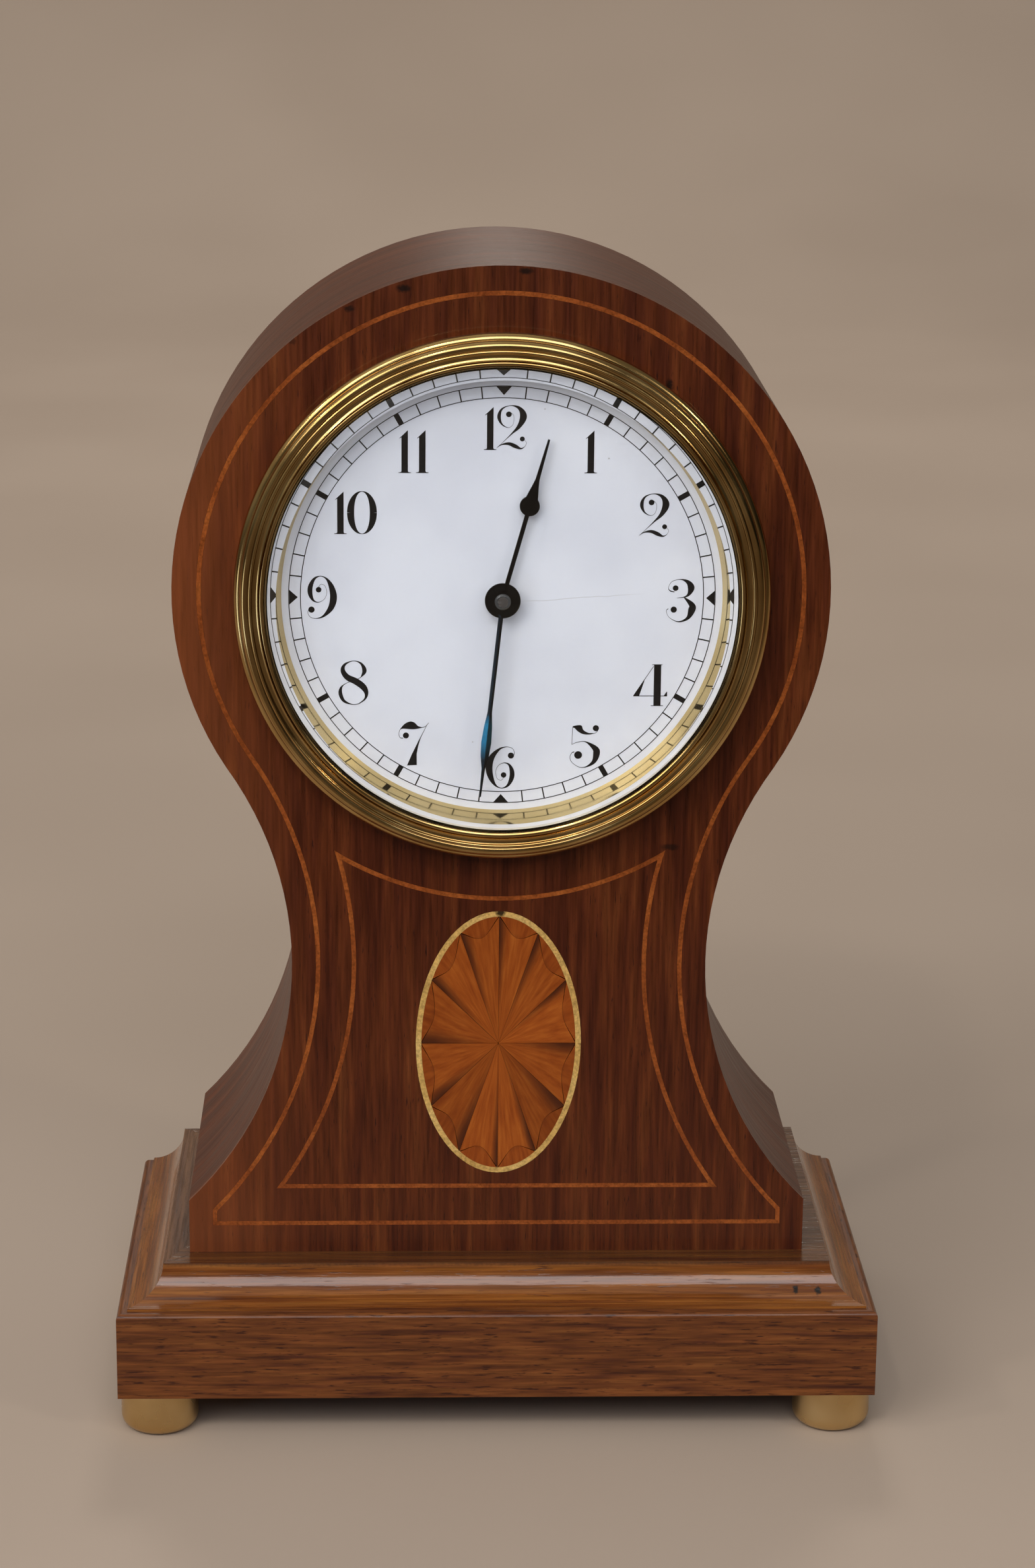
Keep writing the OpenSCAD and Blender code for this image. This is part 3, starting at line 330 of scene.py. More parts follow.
def fan_veneer(name, tones, shaded):
    """Satinwood of the fan, each petal in its own tone, with the grain running outwards.
    A shaded petal was scorched in hot sand: it darkens towards one edge, most at its outer end."""
    made, tree, shader = begin(name, Coat_Weight=0.2, **POLISH)
    place = add(tree, "TexCoord").outputs["Object"]
    in_oval = add(tree, "Mapping", {"Vector": place, "Location": (0, 0, OVAL_Z),
                                    "Rotation": (math.pi / 2, 0, 0), "Scale": (FAN_A, FAN_B, 1)},
                  vector_type="TEXTURE")
    round_oval = add(tree, "TexGradient", {"Vector": in_oval}, gradient_type="RADIAL")
    turn = add(tree, "Math", {0: round_oval.outputs["Fac"], 1: PETALS}, operation="MULTIPLY")
    across = add(tree, "Math", {0: turn}, operation="FRACT")
    which = add(tree, "Math", {0: turn}, operation="FLOOR")
    flat = add(tree, "Mapping", {"Vector": in_oval, "Scale": (1, 1, 0)})
    out = add(tree, "VectorMath", {0: flat}, operation="LENGTH")
    polar = add(tree, "CombineXYZ", {0: turn, 1: out, 2: which})
    drawn = add(tree, "Mapping", {"Vector": polar, "Scale": (9, 3, 5)})
    fibre = add(tree, "TexNoise", {"Vector": drawn, "Scale": 1.0, "Detail": 4.0, "Roughness": 0.6})
    tone = add(tree, "ValToRGB", {"Fac": fibre}, stops=tuple(zip((0.3, 0.5, 0.7), tones)))
    own = add(tree, "TexWhiteNoise", {"W": which}, noise_dimensions="1D").outputs["Value"]
    lift = add(tree, "MapRange", {"Value": own, "To Min": 0.82, "To Max": 1.14})
    tone = add(tree, "VectorMath", {0: tone, 3: lift}, operation="SCALE")
    if shaded:
        wander = add(tree, "MapRange", {"Value": own, "To Min": 0.56, "To Max": 0.8})
        edge = add(tree, "MapRange", {"Value": across, "From Min": wander, "From Max": 1.0},
                   interpolation_type="SMOOTHSTEP")
        outer = add(tree, "MapRange", {"Value": out, "From Min": 0.18, "From Max": 0.82, "To Min": 0.1})
        scorch = add(tree, "Math", {0: edge, 1: outer}, operation="MULTIPLY")
        seam = add(tree, "MapRange", {"Value": across, "From Min": 0.035, "From Max": 0.0, "To Max": 0.45})
        scorch = add(tree, "Math", {0: scorch, 1: seam}, operation="MAXIMUM")
    else:
        scorch = add(tree, "MapRange", {"Value": out, "From Min": 0.9, "From Max": 0.86, "To Max": 0.25})
    tone = stain(tree, scorch, tone, "#46200e")
    dull = add(tree, "MapRange", {"Value": fibre, "To Min": 0.25, "To Max": 0.42})
    bump = add(tree, "Bump", {"Strength": 0.15, "Distance": 0.04 * MM, "Height": fibre})
    wire(tree, shader, tone, dull, bump)
    return made


def brass(name, tones, rough, turned="dial", grooves=()):
    """Yellow brass, lacquered: dull patches, shallow rings from the lathe, dark waxy residue and painted
    shade in the grooves.
    It was turned about the dial's axis, or upright, or not at all.
    grooves gives (radius, half width) in mm."""
    rings = 3.3     # in each mm
    made, tree, shader = begin(name, Metallic=1.0)
    place = add(tree, "TexCoord").outputs["Object"]
    patch = add(tree, "TexNoise", {"Vector": place, "Scale": 90.0, "Detail": 2.0})
    tone = add(tree, "ValToRGB", {"Fac": patch}, stops=tuple(zip((0.35, 0.65), tones)))
    rub = add(tree, "TexNoise", {"Vector": place, "Scale": 260.0, "Detail": 1.0})
    wear = add(tree, "Math", {0: patch, 1: rub}, operation="MULTIPLY")
    dull = add(tree, "MapRange", {"Value": wear, "From Min": 0.15, "From Max": 0.4,
                                  "To Min": rough - 0.03, "To Max": rough + 0.05})
    height = rub
    if turned == "upright":
        level = add(tree, "SeparateXYZ", {0: place})
        height = add(tree, "TexNoise", {"W": level.outputs[2], "Scale": rings / MM, "Detail": 2.0},
                     noise_dimensions="1D")
    if turned == "dial":
        radius = dial_radius(tree, place)
        height = add(tree, "TexNoise", {"W": radius, "Scale": rings, "Detail": 2.0}, noise_dimensions="1D")
        for at, half in grooves:
            gap = add(tree, "Math", {0: radius, 1: at}, operation="SUBTRACT")
            gap = add(tree, "Math", {0: gap}, operation="ABSOLUTE")
            # darker at each groove: waxy residue, and painted shade where the reeds meet
            residue_and_shade = add(tree, "MapRange", {"Value": gap, "From Min": half, "From Max": half * 0.3,
                                         "To Max": 0.35})
            tone = stain(tree, residue_and_shade, tone, "#3a2810")
    bump = add(tree, "Bump", {"Strength": 0.1, "Distance": 0.001 * MM, "Height": height})
    wire(tree, shader, tone, dull, bump)
    return made


def steel(name, tones, rough, stretch=(1, 1, 1), ring=(), tint_and_sheen=""):
    """Hardened steel, polished on a lap: fine straight scratches and a slow change of tone.
    ring gives the radii on the dial, in mm, where a second colour starts, is full, fades and ends; on the
    hands it carries a painted reflection and a painted highlight."""
    made, tree, shader = begin(name, Metallic=1.0)
    place = add(tree, "TexCoord").outputs["Object"]
    drawn = add(tree, "Mapping", {"Vector": place, "Scale": stretch})
    scratch = add(tree, "TexNoise", {"Vector": drawn, "Scale": 700.0, "Detail": 4.0})
    patch = add(tree, "TexNoise", {"Vector": place, "Scale": 120.0, "Detail": 2.0})
    tone = add(tree, "ValToRGB", {"Fac": patch}, stops=tuple(zip((0.35, 0.65), tones)))
    if ring:
        start, full, fade, end = ring
        radius = dial_radius(tree, place)
        starts = add(tree, "MapRange", {"Value": radius, "From Min": start, "From Max": full})
        ends = add(tree, "MapRange", {"Value": radius, "From Min": end, "From Max": fade})
        within = add(tree, "Math", {0: starts, 1: ends}, operation="MULTIPLY")
        # the second colour: on the minute hand partly a painted reflection, on the nut a painted highlight
        tone = stain(tree, within, tone, tint_and_sheen)
    dull = add(tree, "MapRange", {"Value": scratch, "To Min": rough - 0.04, "To Max": rough + 0.08})
    bump = add(tree, "Bump", {"Strength": 0.1, "Distance": 0.003 * MM, "Height": scratch})
    wire(tree, shader, tone, dull, bump)
    return made


def dial_enamel():
    """White vitreous enamel, fired and smooth: cool white, a hairline crack and a few specks."""
    made, tree, shader = begin("vitreous_enamel", Coat_Weight=0.5, Coat_Roughness=0.04, IOR=1.5)
    place = add(tree, "TexCoord").outputs["Object"]
    cloud = add(tree, "TexNoise", {"Vector": place, "Scale": 60.0, "Detail": 3.0})
    tone = add(tree, "ValToRGB", {"Fac": cloud}, stops=((0.35, "#d1d6e7"), (0.65, "#d9deee")))
    # the crack runs from the hands' boss towards the three, a little uphill
    slope, low_at_middle = 0.068, 0.97 * MM
    waver = add(tree, "TexNoise", {"Vector": place, "Scale": 220.0, "Detail": 2.0})
    bend = add(tree, "MapRange", {"Value": waver, "To Min": -0.5 * MM, "To Max": 0.5 * MM})
    at = add(tree, "SeparateXYZ", {0: place})
    line = add(tree, "Math", {0: at.outputs[0], 1: slope, 2: DIAL_Z - low_at_middle},
               operation="MULTIPLY_ADD")
    off = add(tree, "Math", {0: at.outputs[2], 1: line}, operation="SUBTRACT")
    off = add(tree, "Math", {0: off, 1: bend}, operation="ADD")
    off = add(tree, "Math", {0: off}, operation="ABSOLUTE")
    hair = add(tree, "MapRange", {"Value": off, "From Min": 0.09 * MM, "From Max": 0.0, "To Max": 0.4})
    starts = add(tree, "MapRange", {"Value": at.outputs[0], "From Min": 3 * MM, "From Max": 6 * MM})
    ends = add(tree, "MapRange", {"Value": at.outputs[0], "From Min": 28 * MM, "From Max": 20 * MM})
    reach = add(tree, "Math", {0: starts, 1: ends}, operation="MULTIPLY")
    crack = add(tree, "Math", {0: hair, 1: reach}, operation="MULTIPLY")
    speck = add(tree, "TexVoronoi", {"Vector": place, "Scale": 130.0})
    dot = add(tree, "MapRange", {"Value": speck.outputs["Distance"], "From Min": 0.03, "From Max": 0.015,
                                 "To Max": 0.5})
    soil = add(tree, "Math", {0: crack, 1: dot}, operation="MAXIMUM")
    tone = stain(tree, soil, tone, "#6d675f")
    dull = add(tree, "MapRange", {"Value": cloud, "To Min": 0.16, "To Max": 0.28})
    bump = add(tree, "Bump", {"Strength": 0.06, "Distance": 0.05 * MM, "Height": cloud})
    wire(tree, shader, tone, dull, bump)
    return made


def dial_black():
    """Black painted enamel of the numerals: soft black, a little thin in places."""
    made, tree, shader = begin("black_enamel_paint", Specular_IOR_Level=0.2)
    place = add(tree, "TexCoord").outputs["Object"]
    thin = add(tree, "TexNoise", {"Vector": place, "Scale": 1400.0, "Detail": 3.0})
    tone = add(tree, "ValToRGB", {"Fac": thin}, stops=((0.4, "#030304"), (0.75, "#0c0d10")))
    dull = add(tree, "MapRange", {"Value": thin, "To Min": 0.25, "To Max": 0.45})
    wire(tree, shader, tone, dull)
    return made


def clear_glass():
    """Polished plate glass: clear, with lamps shining through it onto the dial."""
    made, tree, shader = begin("plate_glass", Base_Color=linear("#fbfcfc"), Roughness=0.0, IOR=1.52,
                               Transmission_Weight=1.0)
    through = add(tree, "BsdfTransparent", {"Color": linear("#f5f7f7")})
    lamp_ray = add(tree, "LightPath").outputs["Is Shadow Ray"]
    both = add(tree, "MixShader", {0: lamp_ray, 1: shader, 2: through})
    tree.links.new(both.outputs[0], tree.nodes["Material Output"].inputs["Surface"])
    return made


# the turned pieces of the front, as half sections: (radius, height above the veneer face) in mm

def arc(r, h, radius, start, end, steps=14):
    """Points on a round of the section, from one angle to another."""
    turns = [math.radians(start + (end - start) * i / steps) for i in range(steps + 1)]
    return [(r + radius * math.cos(turn), h + radius * math.sin(turn)) for turn in turns]


BEZEL_SECTION = ([(45.03, -9.5), (46.3, -9.5), (46.3, 0), (49.6, 0)]
                 + arc(49.05, 4.002, 1.25, -63.9, 112.8)    # the outer reed
                 + arc(48.05, 6.072, 1.05, -60.0, 120.8)    # the second reed
                 + arc(47.1, 6.9, 0.42, 10.2, 207.1)        # the fine reed
                 + arc(46.25, 7.7, 1.1, -64.0, -158.7)      # the hollow
                 + [(45.13, 7.345), (45.0, 7.36), (44.86, 7.345), (44.7, 7.29), (44.53, 7.2), (44.44, 7.12),
                    (44.4, 7.03), (44.4, 6.93), (45.03, 6.93)])
RING_SECTION = [(41.4, 0.5), (45, 0.5), (45, 5.95), (43.5, 5.95)]
GLASS_SECTION = [(0, 6), (45, 6), (45, 6.9), (44.1, 6.9), (42.2, 8.8), (0, 8.8)]


def turn_on_lathe(name, section, node, material):
    """Turns a section about the dial's axis into a smooth piece that stands for a CAD node."""
    count = len(section)
    closed = section[0][0] > 0
    mesh = bpy.data.meshes.new(name)
    mesh.from_pydata([(r * MM, VENEER_FACE - h * MM, DIAL_Z) for r, h in section],
                     [(i, (i + 1) % count) for i in range(count if closed else count - 1)], [])
    piece = bpy.data.objects.new(name, mesh)
    scene.collection.objects.link(piece)
    only(piece)
    bpy.ops.object.mode_set(mode="EDIT")
    bpy.ops.mesh.select_all(action="SELECT")
    bpy.ops.mesh.spin(steps=TURN_STEPS, angle=math.tau, center=(0, 0, DIAL_Z), axis=(0, 1, 0))
    bpy.ops.mesh.select_all(action="SELECT")
    bpy.ops.mesh.remove_doubles(threshold=0.002 * MM)
    bpy.ops.mesh.normals_make_consistent(inside=False)
    bpy.ops.object.mode_set(mode="OBJECT")
    bpy.ops.object.shade_smooth_by_angle(angle=SMOOTH_UNDER)
    piece.data.materials.append(material)
    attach(piece, "case")
    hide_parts(node)


# dial drawing, in mm from the dial's centre, x to the right and y up

# pen: (x, y, width) along a stroke; ball: (x, y, radius); patch: corners; leaf: points of a smooth outline
NUMERALS = {
    "0": [
        ("pen", [(2.12, 0.0, 1.33), (2.05, -1.04, 1.26), (1.84, -2.0, 1.09), (1.5, -2.83, 0.83),
                 (1.06, -3.47, 0.53), (0.55, -3.87, 0.26), (0.0, -4.01, 0.09), (-0.55, -3.87, 0.26),
                 (-1.06, -3.47, 0.53), (-1.5, -2.83, 0.83), (-1.84, -2.0, 1.09), (-2.05, -1.04, 1.26),
                 (-2.12, 0.0, 1.33)]),
        ("pen", [(-2.12, 0.0, 1.33), (-2.05, 1.04, 1.26), (-1.84, 2.0, 1.09), (-1.5, 2.83, 0.83),
                 (-1.06, 3.47, 0.53), (-0.55, 3.87, 0.26), (0.0, 4.01, 0.09), (0.55, 3.87, 0.26),
                 (1.06, 3.47, 0.53), (1.5, 2.83, 0.83), (1.84, 2.0, 1.09), (2.05, 1.04, 1.26),
                 (2.12, 0.0, 1.33)]),
    ],
    "1": [
        ("patch", [(-1.15, -4.0), (1.15, -4.0), (1.15, -3.88), (0.75, -3.84), (0.6, -3.66), (0.6, 4.05),
                   (-0.95, 2.58), (-0.95, 2.46), (-0.6, 2.7), (-0.6, -3.66), (-0.75, -3.84), (-1.15, -3.88)]),
    ],
    "2": [
        ("pen", [(-0.24, 2.79, 0.07), (0.29, 2.07, 0.05), (0.12, 0.63, 0.05), (-0.73, -0.01, 0.07),
                 (-1.95, 0.63, 0.29), (-2.48, 2.02, 0.68), (-1.95, 3.46, 0.34), (-0.36, 4.11, 0.12),
                 (1.27, 3.63, 0.63), (2.04, 2.12, 1.3), (1.27, 0.28, 0.77), (-0.12, -1.16, 0.24),
                 (-1.7, -2.72, 0.07), (-2.87, -3.8, 0.05)]),
        ("ball", [(-0.66, 2.48, 0.53)]),
        ("pen", [(-2.87, -3.8, 0.05), (-1.95, -3.2, 0.19), (-0.61, -3.03, 0.58), (0.61, -3.51, 0.72),
                 (1.58, -3.92, 0.29), (2.31, -3.56, 0.07), (2.63, -2.84, 0.05), (2.19, -2.24, 0.05)]),
        ("ball", [(1.87, -2.12, 0.46)]),
    ],
    "3": [
        ("pen", [(-1.17, 1.65, 0.15), (-1.9, 1.82, 0.2), (-2.32, 2.43, 0.07), (-1.66, 3.64, 0.07),
                 (-0.06, 4.05, 0.15), (1.29, 3.57, 0.73), (1.95, 2.5, 1.27), (1.53, 1.21, 0.59),
                 (0.68, 0.66, 0.2), (-0.68, 0.49, 0.05)]),
        ("ball", [(-0.97, 2.38, 0.54)]),
        ("pen", [(0.68, 0.61, 0.2), (2.15, -0.85, 1.1), (2.15, -1.82, 1.34), (1.41, -3.4, 0.61),
                 (-0.31, -4.08, 0.2), (-2.03, -3.28, 0.07), (-2.64, -2.06, 0.07), (-2.27, -1.58, 0.15)]),
        ("ball", [(-1.24, -1.75, 0.59)]),
    ],
    "4": [
        ("patch", [(0.68, 3.96), (2.03, 3.96), (2.03, -3.96), (0.68, -3.96)]),
        ("patch", [(0.31, 4.06), (2.27, 4.06), (2.27, 3.94), (0.31, 3.94)]),
        ("patch", [(0.18, -3.94), (2.52, -3.94), (2.52, -4.06), (0.18, -4.06)]),
        ("pen", [(0.6, 3.69, 0.1), (-1.29, 0.79, 0.1), (-3.13, -2.04, 0.1)]),
        ("patch", [(-1.17, 0.86), (-1.09, 0.86), (-2.08, -2.14), (-3.18, -2.14)]),
        ("patch", [(-3.18, -2.04), (3.25, -2.04), (3.25, -2.17), (-3.18, -2.17)]),
        ("patch", [(3.11, -1.3), (3.25, -1.3), (3.25, -2.09), (2.59, -2.09)]),
    ],
    "5": [
        ("leaf", [(-2.32, 3.72), (-2.16, 4.0), (-0.75, 4.12), (-0.29, 3.2), (0.69, 2.64), (1.61, 2.6),
                  (0.98, 2.33), (-0.39, 2.41), (-1.38, 2.96), (-1.97, 3.56)]),
        ("pen", [(0.98, 2.47, 0.1), (1.97, 2.6, 0.08), (2.48, 3.16, 0.08)]),
        ("ball", [(2.06, 3.56, 0.59)]),
        ("pen", [(-2.32, 3.8, 0.08), (-2.4, 1.97, 0.08), (-2.46, 0.34, 0.08)]),
        ("pen", [(-2.46, 0.34, 0.06), (-1.38, 0.82, 0.1), (0.2, 0.87, 0.2), (1.97, -0.42, 1.09),
                 (2.26, -1.41, 1.28), (1.77, -3.0, 0.79), (0.39, -4.0, 0.24), (-0.98, -4.1, 0.1),
                 (-2.36, -3.2, 0.08), (-2.79, -2.21, 0.08), (-2.46, -1.31, 0.1), (-1.97, -1.11, 0.2)]),
        ("ball", [(-1.24, -1.71, 0.75)]),
    ],
    "6": [
        ("ball", [(2.05, 2.36, 0.59)]),
        ("pen", [(2.64, 2.46, 0.08), (2.72, 3.0, 0.08), (2.25, 3.8, 0.08), (1.12, 4.06, 0.12),
                 (-0.24, 3.56, 0.43), (-1.61, 1.96, 1.08), (-2.09, -0.03, 1.3), (-1.7, -2.02, 0.99),
                 (-0.83, -3.52, 0.39), (0.34, -4.06, 0.14), (1.51, -3.52, 0.49), (2.23, -2.02, 0.89),
                 (2.25, -0.63, 0.83), (1.7, 0.57, 0.39), (0.73, 0.93, 0.12), (-0.34, 0.37, 0.06),
                 (-0.83, -0.83, 0.06), (-0.54, -2.12, 0.06), (0.24, -2.52, 0.06), (0.73, -1.92, 0.06)]),
        ("ball", [(0.69, -1.46, 0.53)]),
    ],
    "7": [
        ("leaf", [(-2.53, 2.8), (-1.82, 3.72), (-1.03, 4.2), (-0.39, 4.29), (0.25, 4.02), (0.82, 3.43),
                  (1.6, 3.13), (0.96, 2.92), (-0.04, 2.77), (-1.18, 2.83), (-2.03, 2.89)]),
        ("pen", [(-2.49, 2.86, 0.07), (-2.81, 1.94, 0.07), (-2.57, 1.16, 0.09), (-2.0, 1.04, 0.15)]),
        ("ball", [(-1.46, 1.56, 0.58)]),
        ("pen", [(0.96, 3.2, 0.13), (1.6, 3.13, 0.12), (2.24, 3.35, 0.09), (2.86, 4.05, 0.07)]),
        ("patch", [(2.86, 4.05), (2.53, 3.58), (1.32, 1.04), (0.89, -0.45), (0.58, -2.09), (0.61, -4.25),
                   (-1.25, -4.32), (-0.32, -2.09), (0.96, 0.6), (2.39, 3.43)]),
    ],
    "8": [
        ("pen", [(1.42, 1.1, 0.14), (2.09, 2.33, 0.82), (1.42, 3.75, 0.39), (0.0, 4.22, 0.12),
                 (-1.54, 3.6, 0.43), (-2.01, 2.45, 0.82), (-1.18, 1.1, 1.11), (0.47, 0.25, 1.25),
                 (1.9, -0.86, 1.16), (2.44, -2.08, 0.72), (2.13, -3.19, 0.34), (0.95, -4.12, 0.14)]),
        ("pen", [(0.95, -4.12, 0.14), (-0.24, -4.22, 0.14), (-1.78, -3.55, 0.53), (-2.44, -2.21, 0.72),
                 (-2.37, -1.1, 0.48), (-1.78, -0.37, 0.14), (-0.47, 0.29, 0.1), (1.07, 0.86, 0.1),
                 (1.47, 1.15, 0.14)]),
    ],
}
# digit, its middle from the dial's centre, and whether it stands on its head
PLACES = [
    ("1", 16.23, 27.69, False), ("2", 28.34, 15.75, False), ("3", 33.49, -0.48, False),
    ("4", 28.1, -16.89, False), ("5", 15.89, -28.87, False), ("6", -0.17, -33.06, False),
    ("7", -16.59, -28.33, False), ("8", -27.95, -16.49, False), ("6", -33.71, -0.02, True),
    ("1", -30.27, 16.06, False), ("0", -26.26, 16.13, False), ("1", -18.33, 27.64, False),
    ("1", -15.06, 27.65, False), ("1", -2.5, 32.02, False), ("2", 1.59, 32.23, False),
]
TRACK_OUT = 40.0
TRACK_IN = 37.8
LINE_W = 0.15
PAINT_T = 0.03
TICK_HALF = 0.12
FIVE_HALF = 0.5
ARROW_HALF = 1.42
ARROW_LONG = 1.63
ARROW_OFF = 0.02        # from the outer line to the arrowhead's base
THINNEST = 0.05
BALL_SIDES = 28


def smooth(points, closed=False, steps=6):
    """Points on a smooth curve through the given ones."""
    n = len(points)
    rows = []
    for i in range(n if closed else n - 1):
        near = range(i - 1, i + 3)
        a, b, c, d = (points[k % n] if closed else points[min(max(k, 0), n - 1)] for k in near)
        for s in range(steps):
            t = s / steps
            rows.append(tuple(0.5 * (2 * q + (r - p) * t + (2 * p - 5 * q + 4 * r - u) * t * t
                                     + (3 * q - p - 3 * r + u) * t ** 3) for p, q, r, u in zip(a, b, c, d)))
    return rows if closed else rows + [tuple(points[-1])]


def flat_shape(kind, points):
    """Corners and faces of one flat shape: a pen stroke, a ball, a leaf or a patch."""
    if kind == "pen":
        line = smooth(points)
        corners = []
        for i, (x, y, width) in enumerate(line):
            before, after = line[max(i - 1, 0)], line[min(i + 1, len(line) - 1)]
            dx, dy = after[0] - before[0], after[1] - before[1]
            half = max(width, THINNEST) / 2 / math.hypot(dx, dy)
            corners += [(x - dy * half, y + dx * half), (x + dy * half, y - dx * half)]
        return corners, [(2 * i, 2 * i + 1, 2 * i + 3, 2 * i + 2) for i in range(len(line) - 1)]
    if kind == "ball":
        x, y, radius = points[0]
        turns = [math.tau * i / BALL_SIDES for i in range(BALL_SIDES)]
        corners = [(x + radius * math.cos(turn), y + radius * math.sin(turn)) for turn in turns]
    elif kind == "leaf":
        corners = smooth(points, closed=True)
    else:
        corners = points
    return corners, [tuple(range(len(corners)))]


def raise_flat(name, corners, faces, thick=PAINT_T):
    """A flat outline made into a thin layer, still in mm and lying flat."""
    mesh = bpy.data.meshes.new(name)
    mesh.from_pydata([(x, y, 0) for x, y in corners], [], faces)
    piece = bpy.data.objects.new(name, mesh)
    scene.collection.objects.link(piece)
    only(piece)
    bpy.ops.object.mode_set(mode="EDIT")
    bpy.ops.mesh.select_all(action="SELECT")
    bpy.ops.mesh.extrude_region_move(TRANSFORM_OT_translate={"value": (0, 0, thick)})
    bpy.ops.mesh.select_all(action="SELECT")
    bpy.ops.mesh.normals_make_consistent(inside=False)
    bpy.ops.object.mode_set(mode="OBJECT")
    return piece


def fuse(parts):
    """Joins overlapping layers into one."""
    base = parts[0]
    only(base)
    for other in parts[1:]:
        join = base.modifiers.new("fuse", "BOOLEAN")
        join.operation = "UNION"
        join.solver = "EXACT"
        join.object = other
        bpy.ops.object.modifier_apply(modifier="fuse")
        bpy.data.objects.remove(other)
    return base


def stand_up(piece, y, z=0):
    """Turns a piece that lies flat in mm into the front plane, in metres."""
    upright = Matrix.Rotation(math.pi / 2, 4, "X") @ Matrix.Scale(MM, 4)
    piece.data.transform(Matrix.Translation((0, y, z)) @ upright)


def set_on_dial(parts, name, material):
    """Joins the parts and sets them on the dial's face, upright."""
    bpy.ops.object.select_all(action="DESELECT")
    for part in parts:
        part.select_set(True)
    bpy.context.view_layer.objects.active = parts[0]
    bpy.ops.object.join()
    piece = bpy.context.object
    piece.name = name
    piece.data.name = name
    stand_up(piece, DIAL_FACE, DIAL_Z)
    piece.data.materials.clear()
    piece.data.materials.append(material)
    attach(piece, "case")


def paint_numerals(material):
    """The numerals, each fused from its strokes."""
    digits = []
    for digit, x, y, on_head in PLACES:
        shape = fuse([raise_flat("stroke", *flat_shape(kind, points)) for kind, points in NUMERALS[digit]])
        turn = Matrix.Rotation(math.pi, 4, "Z") if on_head else Matrix.Identity(4)
        shape.data.transform(Matrix.Translation((x, y, 0)) @ turn)
        digits.append(shape)
    set_on_dial(digits, "dial_numerals", material)


def paint_track(material):
    """The minute ring: two lines with a tick each minute.
    The ticks are broad at the fives, and arrowheads at the quarters."""
    marks = []
    for radius in (TRACK_IN, TRACK_OUT):
        corners = [((radius + side * LINE_W / 2) * math.cos(math.tau * i / TURN_STEPS),
                    (radius + side * LINE_W / 2) * math.sin(math.tau * i / TURN_STEPS))
                   for i in range(TURN_STEPS) for side in (-1, 1)]
        count = len(corners)
        faces = [(i, i + 1, (i + 3) % count, (i + 2) % count) for i in range(0, count, 2)]
        marks.append(raise_flat("line", corners, faces))
    low, high = TRACK_IN + LINE_W / 2, TRACK_OUT - LINE_W / 2
    for minute in range(60):
        if minute % 15 == 0:
            base = high - ARROW_OFF
            corners = [(-ARROW_HALF, base), (0, high - ARROW_LONG), (ARROW_HALF, base)]
        else:
            half = FIVE_HALF if minute % 5 == 0 else TICK_HALF
            corners = [(-half, low), (half, low), (half, high), (-half, high)]
        turn = Matrix.Rotation(-math.tau * minute / 60, 2)
        corners = [tuple(turn @ Vector(corner)) for corner in corners]
        marks.append(raise_flat("tick", corners, [tuple(range(len(corners)))]))
    set_on_dial(marks, "minute_track", material)


def bend_click_spring(material):
    """The click's spring in short lengths, fused with its post. Its post stands on the plate."""
    low, high = (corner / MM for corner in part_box("click_spring"))
    post_r, strip_w, lengths = 0.9, 0.4, 12
    above, below = 0.2, 0.7     # from the strip to the post's free end and to the plate
    foot = Vector((low.x + post_r, high.z - post_r))
    tip = Vector((high.x - strip_w / 2, low.z + strip_w / 2))
    line = [(*foot.lerp(tip, i / lengths), strip_w) for i in range(lengths + 1)]
    tall = high.y - low.y
    depth = tall - below - above
    post = raise_flat("bending_click_spring", *flat_shape("ball", [(*foot, post_r)]), tall)
    strip = raise_flat("strip", *flat_shape("pen", line), depth)
    end = raise_flat("end", *flat_shape("ball", [(*tip, strip_w / 2)]), depth)
    for part in (strip, end):
        part.data.transform(Matrix.Translation((0, 0, above)))
    piece = fuse([post, fuse([strip, end])])
    stand_up(piece, high.y * MM)
    only(piece)
    bpy.ops.object.shade_smooth_by_angle(angle=SMOOTH_UNDER)
    piece.data.materials.clear()
    piece.data.materials.append(material)
    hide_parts("click_spring")
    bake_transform(piece)


# the looks of each node

